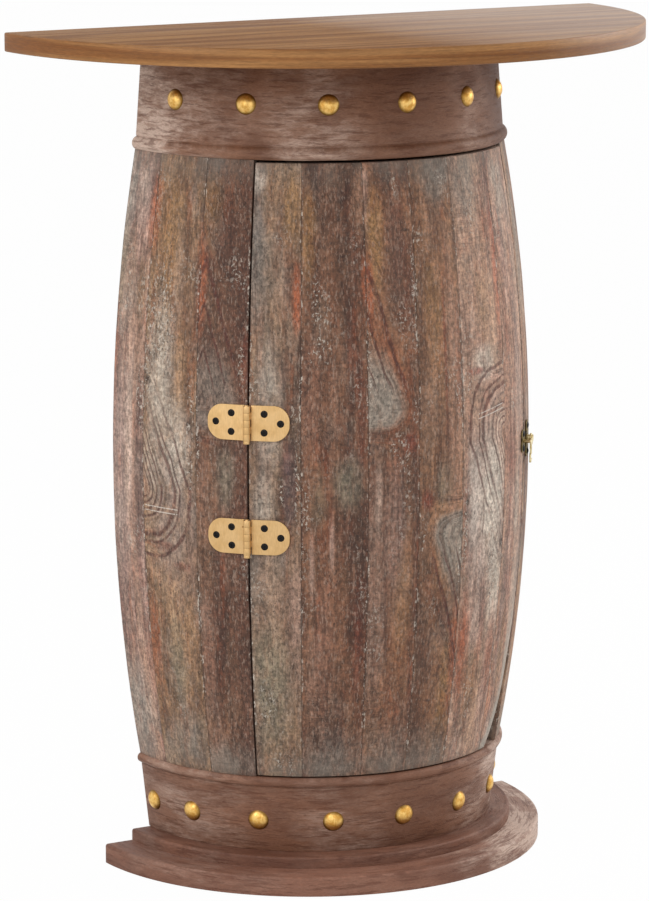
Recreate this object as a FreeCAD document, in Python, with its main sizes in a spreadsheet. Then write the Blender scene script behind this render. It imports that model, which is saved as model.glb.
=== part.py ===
import FreeCAD, Part

import math
import os
import re

import Sketcher

# A half-barrel bar cabinet: a half-round plinth, a lower and an upper band studded with nails,
# bulging staves between them, a door of six staves on two flap hinges, a swing-hook latch and a
# half-round tabletop. Millimetres, +Z up. The origin is at the bottom centre of the bounding box;
# the barrel's axis stands in the flat back plane, and the front faces -Y. Angles are measured
# around the barrel's axis from the front, positive towards +X, in degrees.

# Every length is in millimetres and every angle in degrees. A rise is a height above the barrel's
# base, or above the band's own base for a nail; a drop is a depth below the barrel's top. The
# hinges and the latch are set above and below the barrel's middle, where it is widest.
SIZES = {
    # overall
    "overall_height": 950,
    "tabletop_radius": 380,
    "tabletop_thickness": 21,
    "tabletop_easing": 2,
    # plinth
    "plinth_radius": 268,
    "plinth_thickness": 22,
    "plinth_easing": 3,
    "plinth_step_radius": 234,
    "plinth_step_thickness": 13,
    # bands
    "band_thickness": 9,
    "bead_proud": 4.5,
    "lower_band_height": 88,
    "lower_band_inset": 0.5,
    "lower_band_taper": 10.5,
    "lower_bead_height": 11,
    "upper_band_height": 115,
    "upper_band_inset": 0.5,
    "upper_band_taper": 8.9,
    "upper_bead_height": 14,
    # barrel
    "belly_radius": 253,
    "barrel_end_radius": 222,
    "stave_thickness": 15,
    "board_thickness": 18,
    "back_thickness": 6,
    "rail_thickness": 12,
    # seams between staves: the fixed ones on both sides, then the door's from left to right
    "inner_side_seam_angle": 59.2,
    "outer_side_seam_angle": 76.4,
    "first_door_seam_angle": -31.7,
    "second_door_seam_angle": -14.7,
    "third_door_seam_angle": -0.9,
    "fourth_door_seam_angle": 13,
    "last_door_seam_angle": 30.8,
    # door
    "door_half_angle": 45,
    "door_side_gap": 2,
    "door_top_gap": 3,
    "door_foot_gap": 2,
    "relief_width": 39,
    "relief_height": 76,
    "relief_radius": 140,
    "ledge_height": 30,
    "ledge_thickness": 18,
    "lower_ledge_rise": 112,
    "upper_ledge_drop": 134,
    "ledge_end_margin": 1.5,
    # jambs behind the door's two long edges
    "jamb_thickness": 18,
    "jamb_width_angle": 8,
    "strike_lap_angle": 3,
    # shelf
    "shelf_rise": 347,
    "shelf_thickness": 15,
    "shelf_jamb_clearance": 3,
    "cleat_height": 18,
    "cleat_depth": 32,
    "cleat_back_gap": 12,
    "cleat_jamb_angle": 1,
    "back_cleat_width": 300,
    # nails
    "nail_head_radius": 11.7,
    "nail_head_height": 5.5,
    "nail_shank_radius": 1.5,
    "nail_shank_length": 7,
    "upper_nail_rise": 60,
    "upper_nail_pitch_angle": 24,
    "lower_nail_rise": 36,
    "lower_nail_pitch_angle": 22.5,
    "lower_end_nail_inset": 20.5,
    # hinges
    "upper_hinge_above_middle": 61.5,
    "lower_hinge_below_middle": 65.5,
    "leaf_length": 46.3,
    "leaf_height": 39,
    "leaf_corner_radius": 17.5,
    "leaf_trim_reach": 140,
    "leaf_thickness": 1.8,
    "knuckle_radius": 4,
    "knuckle_root_near": 0.6,
    "knuckle_root_far": 2.6,
    "hinge_pin_radius": 2,
    "pin_head_radius": 3.7,
    "pin_head_height": 3,
    "pin_tip_height": 0.75,
    "near_screw_reach": 18.6,
    "near_screw_spread": 10.3,
    "far_screw_reach": 36.6,
    "hinge_screw_head_radius": 4,
    "hinge_screw_head_height": 1.4,
    # latch
    "latch_above_middle": 8.5,
    "latch_angle": 48,
    "keeper_angle": 43.3,
    "latch_plate_width": 12,
    "latch_plate_height": 42,
    "keeper_plate_height": 26,
    "plate_corner_radius": 4,
    "plate_thickness": 1.5,
    "latch_screw_spread": 15,
    "keeper_screw_spread": 8.5,
    "latch_screw_head_radius": 4,
    "latch_screw_head_height": 1.6,
    "pivot_radius": 2.5,
    "pivot_collar_radius": 4,
    "pivot_collar_height": 3,
    "pivot_head_radius": 4,
    "pivot_head_height": 1.4,
    "hook_thickness": 2,
    "hook_width": 5,
    "hook_ring_radius": 5.5,
    "hook_eye_radius": 5.2,
    "hook_tail_length": 6.5,
    "keeper_stud_radius": 2,
    "keeper_head_radius": 3.8,
    "keeper_head_height": 1.6,
    "keeper_stud_height": 9.6,
    # wood screws
    "small_shank_radius": 1.4,
    "small_shank_length": 11,
    "large_shank_radius": 2.2,
    "large_head_radius": 4.2,
    "large_head_height": 2.6,
    "tabletop_screw_bite": 12,
    "tabletop_screw_circle": 150,
    "plinth_screw_circle": 140,
    # clearances
    "curved_face_clearance": 0.3,
    "hardware_seat_clearance": 0.15,
    "screw_seat_clearance": 0.2,
    "knuckle_gap": 0.2,
    "pin_clearance": 0.05,
    "screw_clearance": 0.05,
    "hook_end_play": 0.1,
    "stud_play": 0.8,
}

# What is worked out from the sizes. Each name stands for its formula wherever it is used.
WORKED = {
    "step_base": "plinth_thickness",
    "lower_band_base": "plinth_thickness + plinth_step_thickness",
    "barrel_base": "lower_band_base + lower_band_height",
    "upper_band_top": "overall_height - tabletop_thickness",
    "barrel_top": "upper_band_top - upper_band_height",
    "barrel_middle": "(barrel_base + barrel_top) / 2",
    "barrel_half_height": "(barrel_top - barrel_base) / 2",
    "bulge": "belly_radius - barrel_end_radius",
    "profile_radius": "(barrel_half_height ^ 2 + bulge ^ 2) / (2 * bulge)",
    "upper_hinge_level": "barrel_middle + upper_hinge_above_middle",
    "lower_hinge_level": "barrel_middle - lower_hinge_below_middle",
    "latch_level": "barrel_middle + latch_above_middle",
    "shelf_top_level": "barrel_base + shelf_rise",
    "lower_ledge_level": "barrel_base + lower_ledge_rise",
    "upper_ledge_level": "barrel_top - upper_ledge_drop",
    "lower_nail_level": "lower_band_base + lower_nail_rise",
    "upper_nail_level": "barrel_top + upper_nail_rise",
    # the barrel's axis lies in the back plane, half a tabletop behind the origin
    "axis_depth": "tabletop_radius / 2",
    "front_back_face": "axis_depth - back_thickness",
    # the bands meet the barrel's ends and grow narrower away from them
    "lower_band_top_radius": "barrel_end_radius - lower_band_inset",
    "lower_band_foot_radius": "lower_band_top_radius - lower_band_taper",
    "upper_band_foot_radius": "barrel_end_radius - upper_band_inset",
    "upper_band_top_radius": "upper_band_foot_radius - upper_band_taper",
    "upper_band_slope": "upper_band_taper / upper_band_height",
    "lower_band_slope": "-lower_band_taper / lower_band_height",
    "upper_nail_radius": "upper_band_top_radius + upper_band_slope * (upper_band_top - upper_nail_level)",
    "lower_nail_radius": "lower_band_top_radius + lower_band_slope * (barrel_base - lower_nail_level)",
    "upper_nail_tilt": "atan(upper_band_slope) / 1 deg",
    "lower_nail_tilt": "atan(lower_band_slope) / 1 deg",
    "lower_end_nail_angle": "90 - lower_end_nail_inset / lower_nail_radius * 180 / pi",
    "nail_dome_radius": "(nail_head_radius ^ 2 + nail_head_height ^ 2) / (2 * nail_head_height)",
    "floor_board_base": "barrel_base - board_thickness",
    "header_board_top": "barrel_top + board_thickness",
    "top_board_base": "upper_band_top - board_thickness",
    "bottom_board_top": "lower_band_base + board_thickness",
    "door_gap_angle": "door_side_gap / 2 / belly_radius * 180 / pi",
    "door_edge_angle": "door_half_angle - door_gap_angle",
    "frame_edge_angle": "door_half_angle + door_gap_angle",
    "door_base": "barrel_base + door_foot_gap",
    "door_top": "barrel_top - door_top_gap",
    "lining_offset": "stave_thickness + curved_face_clearance",
    "jamb_inner_offset": "lining_offset + jamb_thickness",
    "jamb_far_angle": "frame_edge_angle + jamb_width_angle",
    "strike_near_angle": "door_half_angle - strike_lap_angle",
    "shelf_base": "shelf_top_level - shelf_thickness",
    "shelf_radius": "belly_radius - jamb_inner_offset - shelf_jamb_clearance",
    "cleat_base": "shelf_base - cleat_height",
    "knuckle_reach": "belly_radius + knuckle_radius + curved_face_clearance",
    "hook_seat": "plate_thickness + pivot_collar_height + hook_end_play",
}

doc = FreeCAD.newDocument("BarrelBarCabinet")
sheet = doc.addObject("Spreadsheet::Sheet", "Sizes")
for row, (alias, number) in enumerate(SIZES.items(), start=1):
    sheet.set(f"A{row}", alias.replace("_", " "))
    sheet.set(f"B{row}", str(number))
    sheet.setAlias(f"B{row}", alias)
doc.recompute()


def bound(formula):
    """The formula with every size written as its cell and every worked value as its own formula."""
    def swap(match):
        name = match.group(0)
        if name in WORKED:
            return "(" + bound(WORKED[name]) + ")"
        if name in SIZES:
            return "Sizes." + name
        return name
    return re.sub(r"[a-z_]+", swap, str(formula))


def value(formula):
    """The formula's number at the sheet's present sizes."""
    return float(sheet.evalExpression(bound(formula)))


def bind(thing, **properties):
    """Binds properties of an object to formulas."""
    for name, formula in properties.items():
        thing.setExpression(name, bound(formula))


def barrel_radius(level, offset=0):
    """Formula of the barrel's outer radius at a level, taken an offset inside its face."""
    return (f"(belly_radius - profile_radius"
            f" + sqrt((profile_radius - ({offset})) ^ 2 - (({level}) - barrel_middle) ^ 2))")


# ---------------------------------------------------------------- sketches and bodies

def new_body(label):
    body = doc.addObject("PartDesign::Body", label)
    body.Label = label
    return body


def new_sketch(body, plane, name):
    """A sketch on one of the body's own origin planes."""
    sketch = body.newObject("Sketcher::SketchObject", name)
    origin_plane = [item for item in body.Origin.OriginFeatures if item.Role == plane][0]
    sketch.AttachmentSupport = (origin_plane, "")
    sketch.MapMode = "FlatFace"
    return sketch


def fix_point(sketch, edge, end, across, up):
    """Holds one end of an edge at the point (across, up), two formulas."""
    for kind, formula in (("DistanceX", across), ("DistanceY", up)):
        if str(formula) == "0":
            axis = -2 if kind == "DistanceX" else -1
            sketch.addConstraint(Sketcher.Constraint("PointOnObject", edge, end, axis))
        else:
            limit = sketch.addConstraint(Sketcher.Constraint(kind, -1, 1, edge, end, value(formula)))
            sketch.setExpression(f"Constraints[{limit}]", bound(formula))


def arc_between(first, last, radius, turn):
    """The arc from first to last that turns left (+1) or right (-1), as Sketcher draws it."""
    chord = last - first
    left = FreeCAD.Vector(-chord.y, chord.x, 0).normalize()
    drop = math.sqrt(max(radius ** 2 - (chord.Length / 2) ** 2, 0))
    centre = (first + last) * 0.5 + left * (drop * turn)
    begin, finish = (first, last) if turn > 0 else (last, first)
    angles = [math.atan2(point.y - centre.y, point.x - centre.x) for point in (begin, finish)]
    if angles[1] < angles[0]:
        angles[1] += 2 * math.pi
    circle = Part.Circle(centre, FreeCAD.Vector(0, 0, 1), radius)
    return Part.ArcOfCircle(circle, angles[0], angles[1])


def draw_outline(sketch, corners):
    """Draws a closed outline. Each corner is (across, up) or, where an arc leaves it,
    (across, up, radius, turn), with the turn +1 to the left and -1 to the right."""
    points = [FreeCAD.Vector(value(corner[0]), value(corner[1]), 0) for corner in corners]
    edges = []
    for number, corner in enumerate(corners):
        first, last = points[number], points[(number + 1) % len(points)]
        if len(corner) == 2:
            edge = sketch.addGeometry(Part.LineSegment(first, last), False)
            edges.append((edge, 1, 2))
        else:
            radius, turn = corner[2:]
            edge = sketch.addGeometry(arc_between(first, last, value(radius), turn), False)
            edges.append((edge, 1, 2) if turn > 0 else (edge, 2, 1))
            limit = sketch.addConstraint(Sketcher.Constraint("Radius", edge, value(radius)))
            sketch.setExpression(f"Constraints[{limit}]", bound(radius))
    for number, corner in enumerate(corners):
        edge, start, end = edges[number]
        following, its_start, its_end = edges[(number + 1) % len(edges)]
        sketch.addConstraint(Sketcher.Constraint("Coincident", edge, end, following, its_start))
        fix_point(sketch, edge, start, corner[0], corner[1])


def draw_circle(sketch, across, up, radius):
    centre = FreeCAD.Vector(value(across), value(up), 0)
    edge = sketch.addGeometry(Part.Circle(centre, FreeCAD.Vector(0, 0, 1), value(radius)), False)
    fix_point(sketch, edge, 3, across, up)
    limit = sketch.addConstraint(Sketcher.Constraint("Radius", edge, value(radius)))
    sketch.setExpression(f"Constraints[{limit}]", bound(radius))


def turn_about_axis(piece, angle):
    """Stands a piece on the barrel's axis, with its own +X pointing outwards at the angle."""
    bind(piece, Placement=f"placement(vector(0; axis_depth; 0); rotation({angle} - 90; 0; 0))")


def face_outwards(piece, angle, reach, level, tilt="0"):
    """Points a piece's own +Z outwards at the angle, tilted up by the tilt, from a point that
    lies a reach from the axis; its own +Y then points up."""
    bind(piece, Placement=f"placement(vector(({reach}) * sin({angle}); "
                          f"axis_depth - ({reach}) * cos({angle}); {level}); "
                          f"rotation({angle}; 0; 90 - ({tilt})))")


def turned(label, corners, near_angle, far_angle):
    """A body turned about the barrel's axis between two angles. Corners are (radius, level)."""
    body = new_body(label)
    sketch = new_sketch(body, "XZ_Plane", label + "_section")
    draw_outline(sketch, corners)
    turning = body.newObject("PartDesign::Revolution", label + "_turning")
    turning.Profile = sketch
    turning.ReferenceAxis = (sketch, ["V_Axis"])
    turning.Midplane = True
    bind(turning, Angle=f"({far_angle}) - ({near_angle})")
    turn_about_axis(body, f"(({near_angle}) + ({far_angle})) / 2")
    sketch.Visibility = False
    return body


def half_round(label, radius, base, top):
    """A half-round board with a square edge."""
    return turned(label, [("0", base), (radius, base), (radius, top), ("0", top)], "-90", "90")


def barrel_section(outer_offset, inner_offset, base, top):
    """Section of a piece that follows the barrel's bulge between two levels."""
    return [
        (barrel_radius(base, inner_offset), base),
        (barrel_radius(base, outer_offset), base, f"profile_radius - ({outer_offset})", 1),
        (barrel_radius(top, outer_offset), top),
        (barrel_radius(top, inner_offset), top, f"profile_radius - ({inner_offset})", -1),
    ]


def cylinder(name, radius, height):
    piece = doc.addObject("Part::Cylinder", name)
    bind(piece, Radius=radius, Height=height)
    return piece


def joined(label, pieces):
    """Fuses pieces; those that don't touch stay separate solids of one node."""
    fused = doc.addObject("Part::MultiFuse", label)
    fused.Label = label
    fused.Shapes = pieces
    return fused


def cut_from(label, blank, tools):
    """What is left of a blank when the tools are cut from it."""
    blank.Label = label + "_blank"
    tool = tools[0] if len(tools) == 1 else joined(label + "_cutters", tools)
    result = doc.addObject("Part::Cut", label)
    result.Label = label
    result.Base = blank
    result.Tool = tool
    return result


nodes = []


def keep(piece):
    """Puts a finished sub-part on the list of nodes."""
    nodes.append(piece)
    return piece


# ---------------------------------------------------------------- plinth and bands

def eased_board(label, radius, base, top, lower_easing, upper_easing):
    """A half-round board whose round edge is eased below and above ("0" leaves it square)."""
    corners = [("0", base)]
    if lower_easing == "0":
        corners.append((radius, base))
    else:
        corners.append((f"{radius} - {lower_easing}", base, lower_easing, 1))
        corners.append((radius, f"{base} + {lower_easing}"))
    corners.append((radius, f"{top} - {upper_easing}", upper_easing, 1))
    corners.append((f"{radius} - {upper_easing}", top))
    corners.append(("0", top))
    return turned(label, corners, "-90", "90")


def upright_cylinder(name, radius, angle, circle, base, top):
    """A cylinder parallel to the barrel's axis, on a circle about it."""
    piece = cylinder(name, radius, f"({top}) - ({base})")
    bind(piece, Placement=f"placement(vector(({circle}) * sin({angle}); "
                          f"axis_depth - ({circle}) * cos({angle}); {base}); rotation(0; 0; 0))")
    return piece


SCREW_ANGLES = (-70, -25, 25, 70)


def upright_screws(label, circle, head_base, head_top, shank_base, shank_top):
    """A ring of screws parallel to the axis, and the tools that cut their holes."""
    solids, head_holes, shank_holes = [], [], []
    for number, angle in enumerate(SCREW_ANGLES, start=1):
        name = f"{label}_{number}"
        solids.append(upright_cylinder(name + "_head", "large_head_radius", angle, circle,
                                       head_base, head_top))
        solids.append(upright_cylinder(name + "_shank", "large_shank_radius", angle, circle,
                                       shank_base, shank_top))
        shank_holes.append(upright_cylinder(name + "_bore", "large_shank_radius + screw_clearance",
                                            angle, circle, shank_base, shank_top))
        head_holes.append(upright_cylinder(name + "_seat", "large_head_radius + screw_clearance",
                                           angle, circle, head_base, head_top))
    return keep(joined(label, solids)), head_holes, shank_holes


plinth_screws, plinth_head_holes, plinth_shank_holes = upright_screws(
    "plinth_screws", "plinth_screw_circle", "0", "large_head_height",
    "large_head_height", "bottom_board_top - large_head_height")

plinth_base = keep(cut_from("plinth_base", eased_board(
    "plinth_base_board", "plinth_radius", "0", "plinth_thickness", "0", "plinth_easing"),
    plinth_head_holes + plinth_shank_holes))
plinth_step = keep(cut_from("plinth_step", eased_board(
    "plinth_step_board", "plinth_step_radius", "step_base", "lower_band_base", "0",
    "plinth_easing"), plinth_shank_holes))
bottom_board = keep(cut_from("bottom_board", half_round(
    "bottom_board_disc", "lower_band_foot_radius - band_thickness - curved_face_clearance",
    "lower_band_base", "bottom_board_top"), plinth_shank_holes))


def bead_radius(height, slope):
    """Formula of a bead's radius: its chord lies along the sloping face of its band."""
    return f"(({height} / 2) ^ 2 * (1 + {slope} ^ 2) + bead_proud ^ 2) / (2 * bead_proud)"


lower_bead_foot = "barrel_base - lower_bead_height"
lower_band_at_bead = "lower_band_top_radius + lower_band_slope * lower_bead_height"
lower_band_blank = turned("lower_band_ring", [
    ("lower_band_foot_radius - band_thickness", "lower_band_base"),
    ("lower_band_foot_radius", "lower_band_base"),
    (lower_band_at_bead, lower_bead_foot, bead_radius("lower_bead_height", "lower_band_slope"), 1),
    ("lower_band_top_radius", "barrel_base"),
    ("lower_band_top_radius - band_thickness", "barrel_base"),
], "-90", "90")

upper_bead_top = "barrel_top + upper_bead_height"
upper_band_at_bead = "upper_band_foot_radius - upper_band_slope * upper_bead_height"
upper_band_blank = turned("upper_band_ring", [
    ("upper_band_foot_radius - band_thickness", "barrel_top"),
    ("upper_band_foot_radius", "barrel_top", bead_radius("upper_bead_height", "upper_band_slope"), 1),
    (upper_band_at_bead, upper_bead_top),
    ("upper_band_top_radius", "upper_band_top"),
    ("upper_band_top_radius - band_thickness", "upper_band_top"),
], "-90", "90")


def nailed_band(band_label, band_blank, nails_label, angles, radius, level, tilt):
    """A band and its row of dome-headed nails, each driven square to the band's face."""
    solids, holes = [], []
    for number, angle in enumerate(angles, start=1):
        name = f"{nails_label}_{number}"
        dome = doc.addObject("Part::Sphere", name + "_dome")
        bind(dome, Radius="nail_dome_radius",
             Angle1="asin((nail_dome_radius - nail_head_height) / nail_dome_radius)")
        sink = "(nail_dome_radius - nail_head_height)"
        face_outwards(dome, angle, f"{radius} - {sink} * cos({tilt})",
                      f"{level} - {sink} * sin({tilt})", tilt)
        shank = cylinder(name + "_shank", "nail_shank_radius", "nail_shank_length")
        bore = cylinder(name + "_bore", "nail_shank_radius + screw_clearance",
                        "nail_shank_length + nail_head_height")
        for rod in (shank, bore):
            face_outwards(rod, angle, f"{radius} - nail_shank_length * cos({tilt})",
                          f"{level} - nail_shank_length * sin({tilt})", tilt)
        solids += [dome, shank]
        holes.append(bore)
    keep(cut_from(band_label, band_blank, holes))
    keep(joined(nails_label, solids))


# both rows have seven evenly spaced nails; the lower one has two more, near the band's ends
lower_angles = [f"({number} * lower_nail_pitch_angle)" for number in range(-3, 4)]
upper_angles = [f"({number} * upper_nail_pitch_angle)" for number in range(-3, 4)]
nailed_band("lower_band", lower_band_blank, "lower_nails",
            ["(-lower_end_nail_angle)", *lower_angles, "lower_end_nail_angle"],
            "lower_nail_radius", "lower_nail_level", "lower_nail_tilt")
nailed_band("upper_band", upper_band_blank, "upper_nails", upper_angles,
            "upper_nail_radius", "upper_nail_level", "upper_nail_tilt")

floor_board = keep(half_round(
    "floor_board",
    "lower_band_top_radius + lower_band_slope * board_thickness - band_thickness"
    " - curved_face_clearance", "floor_board_base", "barrel_base"))
header_board = keep(half_round(
    "header_board",
    "upper_band_foot_radius - upper_band_slope * board_thickness - band_thickness"
    " - curved_face_clearance", "barrel_top", "header_board_top"))

# ---------------------------------------------------------------- tabletop

tabletop_screws, tabletop_head_holes, tabletop_shank_holes = upright_screws(
    "tabletop_screws", "tabletop_screw_circle", "top_board_base",
    "top_board_base + large_head_height", "top_board_base + large_head_height",
    "upper_band_top + tabletop_screw_bite")
top_board = keep(cut_from("top_board", half_round(
    "top_board_disc", "upper_band_top_radius - band_thickness - curved_face_clearance",
    "top_board_base", "upper_band_top"), tabletop_head_holes + tabletop_shank_holes))
tabletop = keep(cut_from("tabletop", eased_board(
    "tabletop_board", "tabletop_radius", "upper_band_top", "overall_height",
    "tabletop_easing", "tabletop_easing"), tabletop_shank_holes))

# ---------------------------------------------------------------- back


def back_board(label, outline, thickness):
    """A flat board cut to an outline, with its back in the back plane."""
    board = new_body(label)
    sketch = new_sketch(board, "XZ_Plane", label + "_outline")
    draw_outline(sketch, outline)
    pad = board.newObject("PartDesign::Pad", label + "_pad")
    pad.Profile = sketch
    bind(pad, Length=thickness)
    bind(board, Placement="placement(vector(0; axis_depth; 0); rotation(0; 0; 0))")
    return keep(board)


def back_rail(label, top_radius, slope, band_top, base, top):
    """A flat rail that closes the back of a band, between its two boards."""
    corners = []
    for side, level in (("-", base), ("", base), ("", top), ("-", top)):
        inside = f"{top_radius} + {slope} * ({band_top} - ({level})) - band_thickness"
        corners.append((f"{side}({inside} - curved_face_clearance)", level))
    back_board(label, corners, "rail_thickness")


back_rail("lower_back_rail", "lower_band_top_radius", "lower_band_slope", "barrel_base",
          "bottom_board_top", "floor_board_base")
back_rail("upper_back_rail", "upper_band_top_radius", "upper_band_slope", "upper_band_top",
          "header_board_top", "top_board_base")

back_end = barrel_radius("barrel_base", "lining_offset")
back_board("back_panel", [
    (f"-{back_end}", "barrel_base"),
    (back_end, "barrel_base", "profile_radius - lining_offset", 1),
    (back_end, "barrel_top"),
    (f"-{back_end}", "barrel_top", "profile_radius - lining_offset", 1),
], "back_thickness")

# ---------------------------------------------------------------- fasteners set in the staves


def radial_rod(name, radius, angle, start, length, level):
    """A cylinder along a radius of the barrel, from a reach outwards."""
    rod = cylinder(name, radius, length)
    face_outwards(rod, angle, start, level)
    return rod


class HingeScrew:
    """A flat black screw that holds a hinge leaf to a stave."""

    def __init__(self, name, angle, level):
        self.face = f"({barrel_radius(level)} + screw_seat_clearance)"
        self.root = f"({self.face} - small_shank_length)"
        self.head = radial_rod(name + "_head", "hinge_screw_head_radius", angle, self.face,
                               "hinge_screw_head_height", level)
        self.shank = radial_rod(name + "_shank", "small_shank_radius", angle, self.root,
                                "small_shank_length", level)
        self.leaf_hole = radial_rod(name + "_leaf_hole",
                                    "hinge_screw_head_radius + screw_clearance", angle, self.root,
                                    "2 * small_shank_length", level)
        self.pilot = radial_rod(name + "_pilot", "small_shank_radius + screw_clearance", angle,
                                self.root, "2 * small_shank_length", level)


def leaf_screws(side_name, side, level, prefix):
    """The three screws of one leaf: two beside the knuckle, one near the round end."""
    screws = []
    spots = (("near_screw_reach", "near_screw_spread"), ("near_screw_reach", "-near_screw_spread"),
             ("far_screw_reach", "0"))
    for number, (reach, rise) in enumerate(spots, start=1):
        angle = f"(-door_half_angle + {side} * asin({reach} / belly_radius) / 1 deg)"
        screws.append(HingeScrew(f"{prefix}_{side_name}_screw_{number}", angle,
                                 f"({level} + {rise})"))
    return screws


HINGES = {"upper_hinge": "upper_hinge_level", "lower_hinge": "lower_hinge_level"}
frame_screws, door_screws = [], []
screws_of = {}
for hinge, level in HINGES.items():
    screws_of[hinge, "frame"] = leaf_screws("frame", -1, level, hinge)
    screws_of[hinge, "door"] = leaf_screws("door", 1, level, hinge)
    frame_screws += screws_of[hinge, "frame"]
    door_screws += screws_of[hinge, "door"]

# ---------------------------------------------------------------- hinges

KNUCKLES = 5
FRAME_SLOTS = (0, 2, 4)
DOOR_SLOTS = (1, 3)
KNUCKLE_SLOT = f"(leaf_height / {KNUCKLES})"


def hinge_leaf(label, side, level, own_slots, screws):
    """One leaf of a flap hinge, bent to the barrel's face, with its knuckles and screw holes."""
    foot = f"({level} - leaf_height / 2)"
    head = f"({level} + leaf_height / 2)"
    shell_angle = "(2 * leaf_length / belly_radius * 180 / pi)"
    blank = turned(label + "_plate", barrel_section(
        "-hardware_seat_clearance - leaf_thickness", "-hardware_seat_clearance", foot, head),
        f"-door_half_angle - {shell_angle}", f"-door_half_angle + {shell_angle}")
    # everything outside the leaf's outline is cut off, with a notch for each knuckle of the
    # other leaf
    trim = new_sketch(blank, "YZ_Plane", label + "_trim")
    far = f"({side} * leaf_trim_reach)"
    over = "leaf_height"
    draw_outline(trim, [(f"-{far}", f"{foot} - {over}"), (far, f"{foot} - {over}"),
                        (far, f"{head} + {over}"), (f"-{far}", f"{head} + {over}")])
    outline = []
    for slot in range(KNUCKLES):
        edge = "knuckle_gap / 2" if slot in own_slots else "knuckle_radius + knuckle_gap"
        low = f"{foot} + {slot} * {KNUCKLE_SLOT}"
        high = f"{foot} + {slot + 1} * {KNUCKLE_SLOT}"
        shrink = "knuckle_gap / 2" if slot in own_slots else "-knuckle_gap / 2"
        low = foot if slot == 0 else f"{low} + {shrink}"
        high = head if slot == KNUCKLES - 1 else f"{high} - {shrink}"
        outline.append((f"{side} * ({edge})", low))
        outline.append((f"{side} * ({edge})", high))
    outline.append((f"{side} * (leaf_length - leaf_corner_radius)", head, "leaf_corner_radius", -side))
    outline.append((f"{side} * leaf_length", f"{head} - leaf_corner_radius"))
    outline.append((f"{side} * leaf_length", f"{foot} + leaf_corner_radius", "leaf_corner_radius",
                    -side))
    outline.append((f"{side} * (leaf_length - leaf_corner_radius)", foot))
    draw_outline(trim, outline)
    trimming = blank.newObject("PartDesign::Pocket", label + "_trimming")
    trimming.Profile = trim
    trimming.Type = "ThroughAll"
    trimming.Midplane = True
    # each knuckle stands on the leaf's edge with a root that reaches the leaf at any level
    root_angles = sorted((f"-door_half_angle + {side} * {reach} / belly_radius * 180 / pi"
                          for reach in ("knuckle_root_near", "knuckle_root_far")), key=value)
    root_inset = "(-hardware_seat_clearance - leaf_thickness / 2)"
    knuckles = []
    for slot in own_slots:
        low = f"({foot} + {slot} * {KNUCKLE_SLOT} + knuckle_gap / 2)"
        high = f"({low} + {KNUCKLE_SLOT} - knuckle_gap)"
        knuckles.append(upright_cylinder(f"{label}_knuckle_{slot + 1}", "knuckle_radius",
                                         "-door_half_angle", "knuckle_reach", low, high))
        knuckles.append(turned(f"{label}_root_{slot + 1}", [
            (barrel_radius(low, root_inset), low),
            ("knuckle_reach", low),
            ("knuckle_reach", high),
            (barrel_radius(high, root_inset), high, f"profile_radius - {root_inset}", -1),
        ], *root_angles))
    bore = upright_cylinder(label + "_pin_bore", "hinge_pin_radius + pin_clearance",
                            "-door_half_angle", "knuckle_reach", f"{foot} - {over}",
                            f"{head} + {over}")
    return keep(cut_from(label, joined(label + "_leaf", [blank] + knuckles),
                         [bore] + [screw.leaf_hole for screw in screws]))


def hinge_pin(label, level):
    """The pin, with a head under the lowest knuckle."""
    foot = f"({level} - leaf_height / 2)"
    shaft = upright_cylinder(label + "_shaft", "hinge_pin_radius", "-door_half_angle",
                             "knuckle_reach", foot, f"{level} + leaf_height / 2 + pin_tip_height")
    head = upright_cylinder(label + "_foot", "pin_head_radius", "-door_half_angle",
                            "knuckle_reach", f"{foot} - pin_head_height", foot)
    return keep(joined(label, [shaft, head]))


for hinge, level in HINGES.items():
    hinge_leaf(f"{hinge}_frame_leaf", -1, level, FRAME_SLOTS, screws_of[hinge, "frame"])
    hinge_leaf(f"{hinge}_door_leaf", 1, level, DOOR_SLOTS, screws_of[hinge, "door"])
    hinge_pin(f"{hinge}_pin", level)
keep(joined("hinge_frame_screws", [part for screw in frame_screws for part in (screw.head, screw.shank)]))
keep(joined("hinge_door_screws", [part for screw in door_screws for part in (screw.head, screw.shank)]))

# ---------------------------------------------------------------- latch and keeper

latch_face = f"({barrel_radius('latch_level')} + hardware_seat_clearance)"


def face_plate(label, angle, height, screw_spread, centre_hole):
    """A rounded brass plate on the barrel's face, with two screw holes and one in its middle."""
    body = new_body(label)
    half_width = "latch_plate_width / 2"
    half_height = f"{height} / 2"
    corner = "plate_corner_radius"
    sketch = new_sketch(body, "XY_Plane", label + "_outline")
    draw_outline(sketch, [
        (f"-({half_width}) + {corner}", f"-({half_height})"),
        (f"{half_width} - {corner}", f"-({half_height})", corner, 1),
        (half_width, f"-({half_height}) + {corner}"),
        (half_width, f"{half_height} - {corner}", corner, 1),
        (f"{half_width} - {corner}", half_height),
        (f"-({half_width}) + {corner}", half_height, corner, 1),
        (f"-({half_width})", f"{half_height} - {corner}"),
        (f"-({half_width})", f"-({half_height}) + {corner}", corner, 1),
    ])
    draw_circle(sketch, "0", "0", f"{centre_hole} + screw_clearance")
    draw_circle(sketch, "0", screw_spread, "small_shank_radius + screw_clearance")
    draw_circle(sketch, "0", f"-{screw_spread}", "small_shank_radius + screw_clearance")
    pad = body.newObject("PartDesign::Pad", label + "_pad")
    pad.Profile = sketch
    bind(pad, Length="plate_thickness")
    face_outwards(body, angle, latch_face, "latch_level")
    return keep(body)


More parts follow.
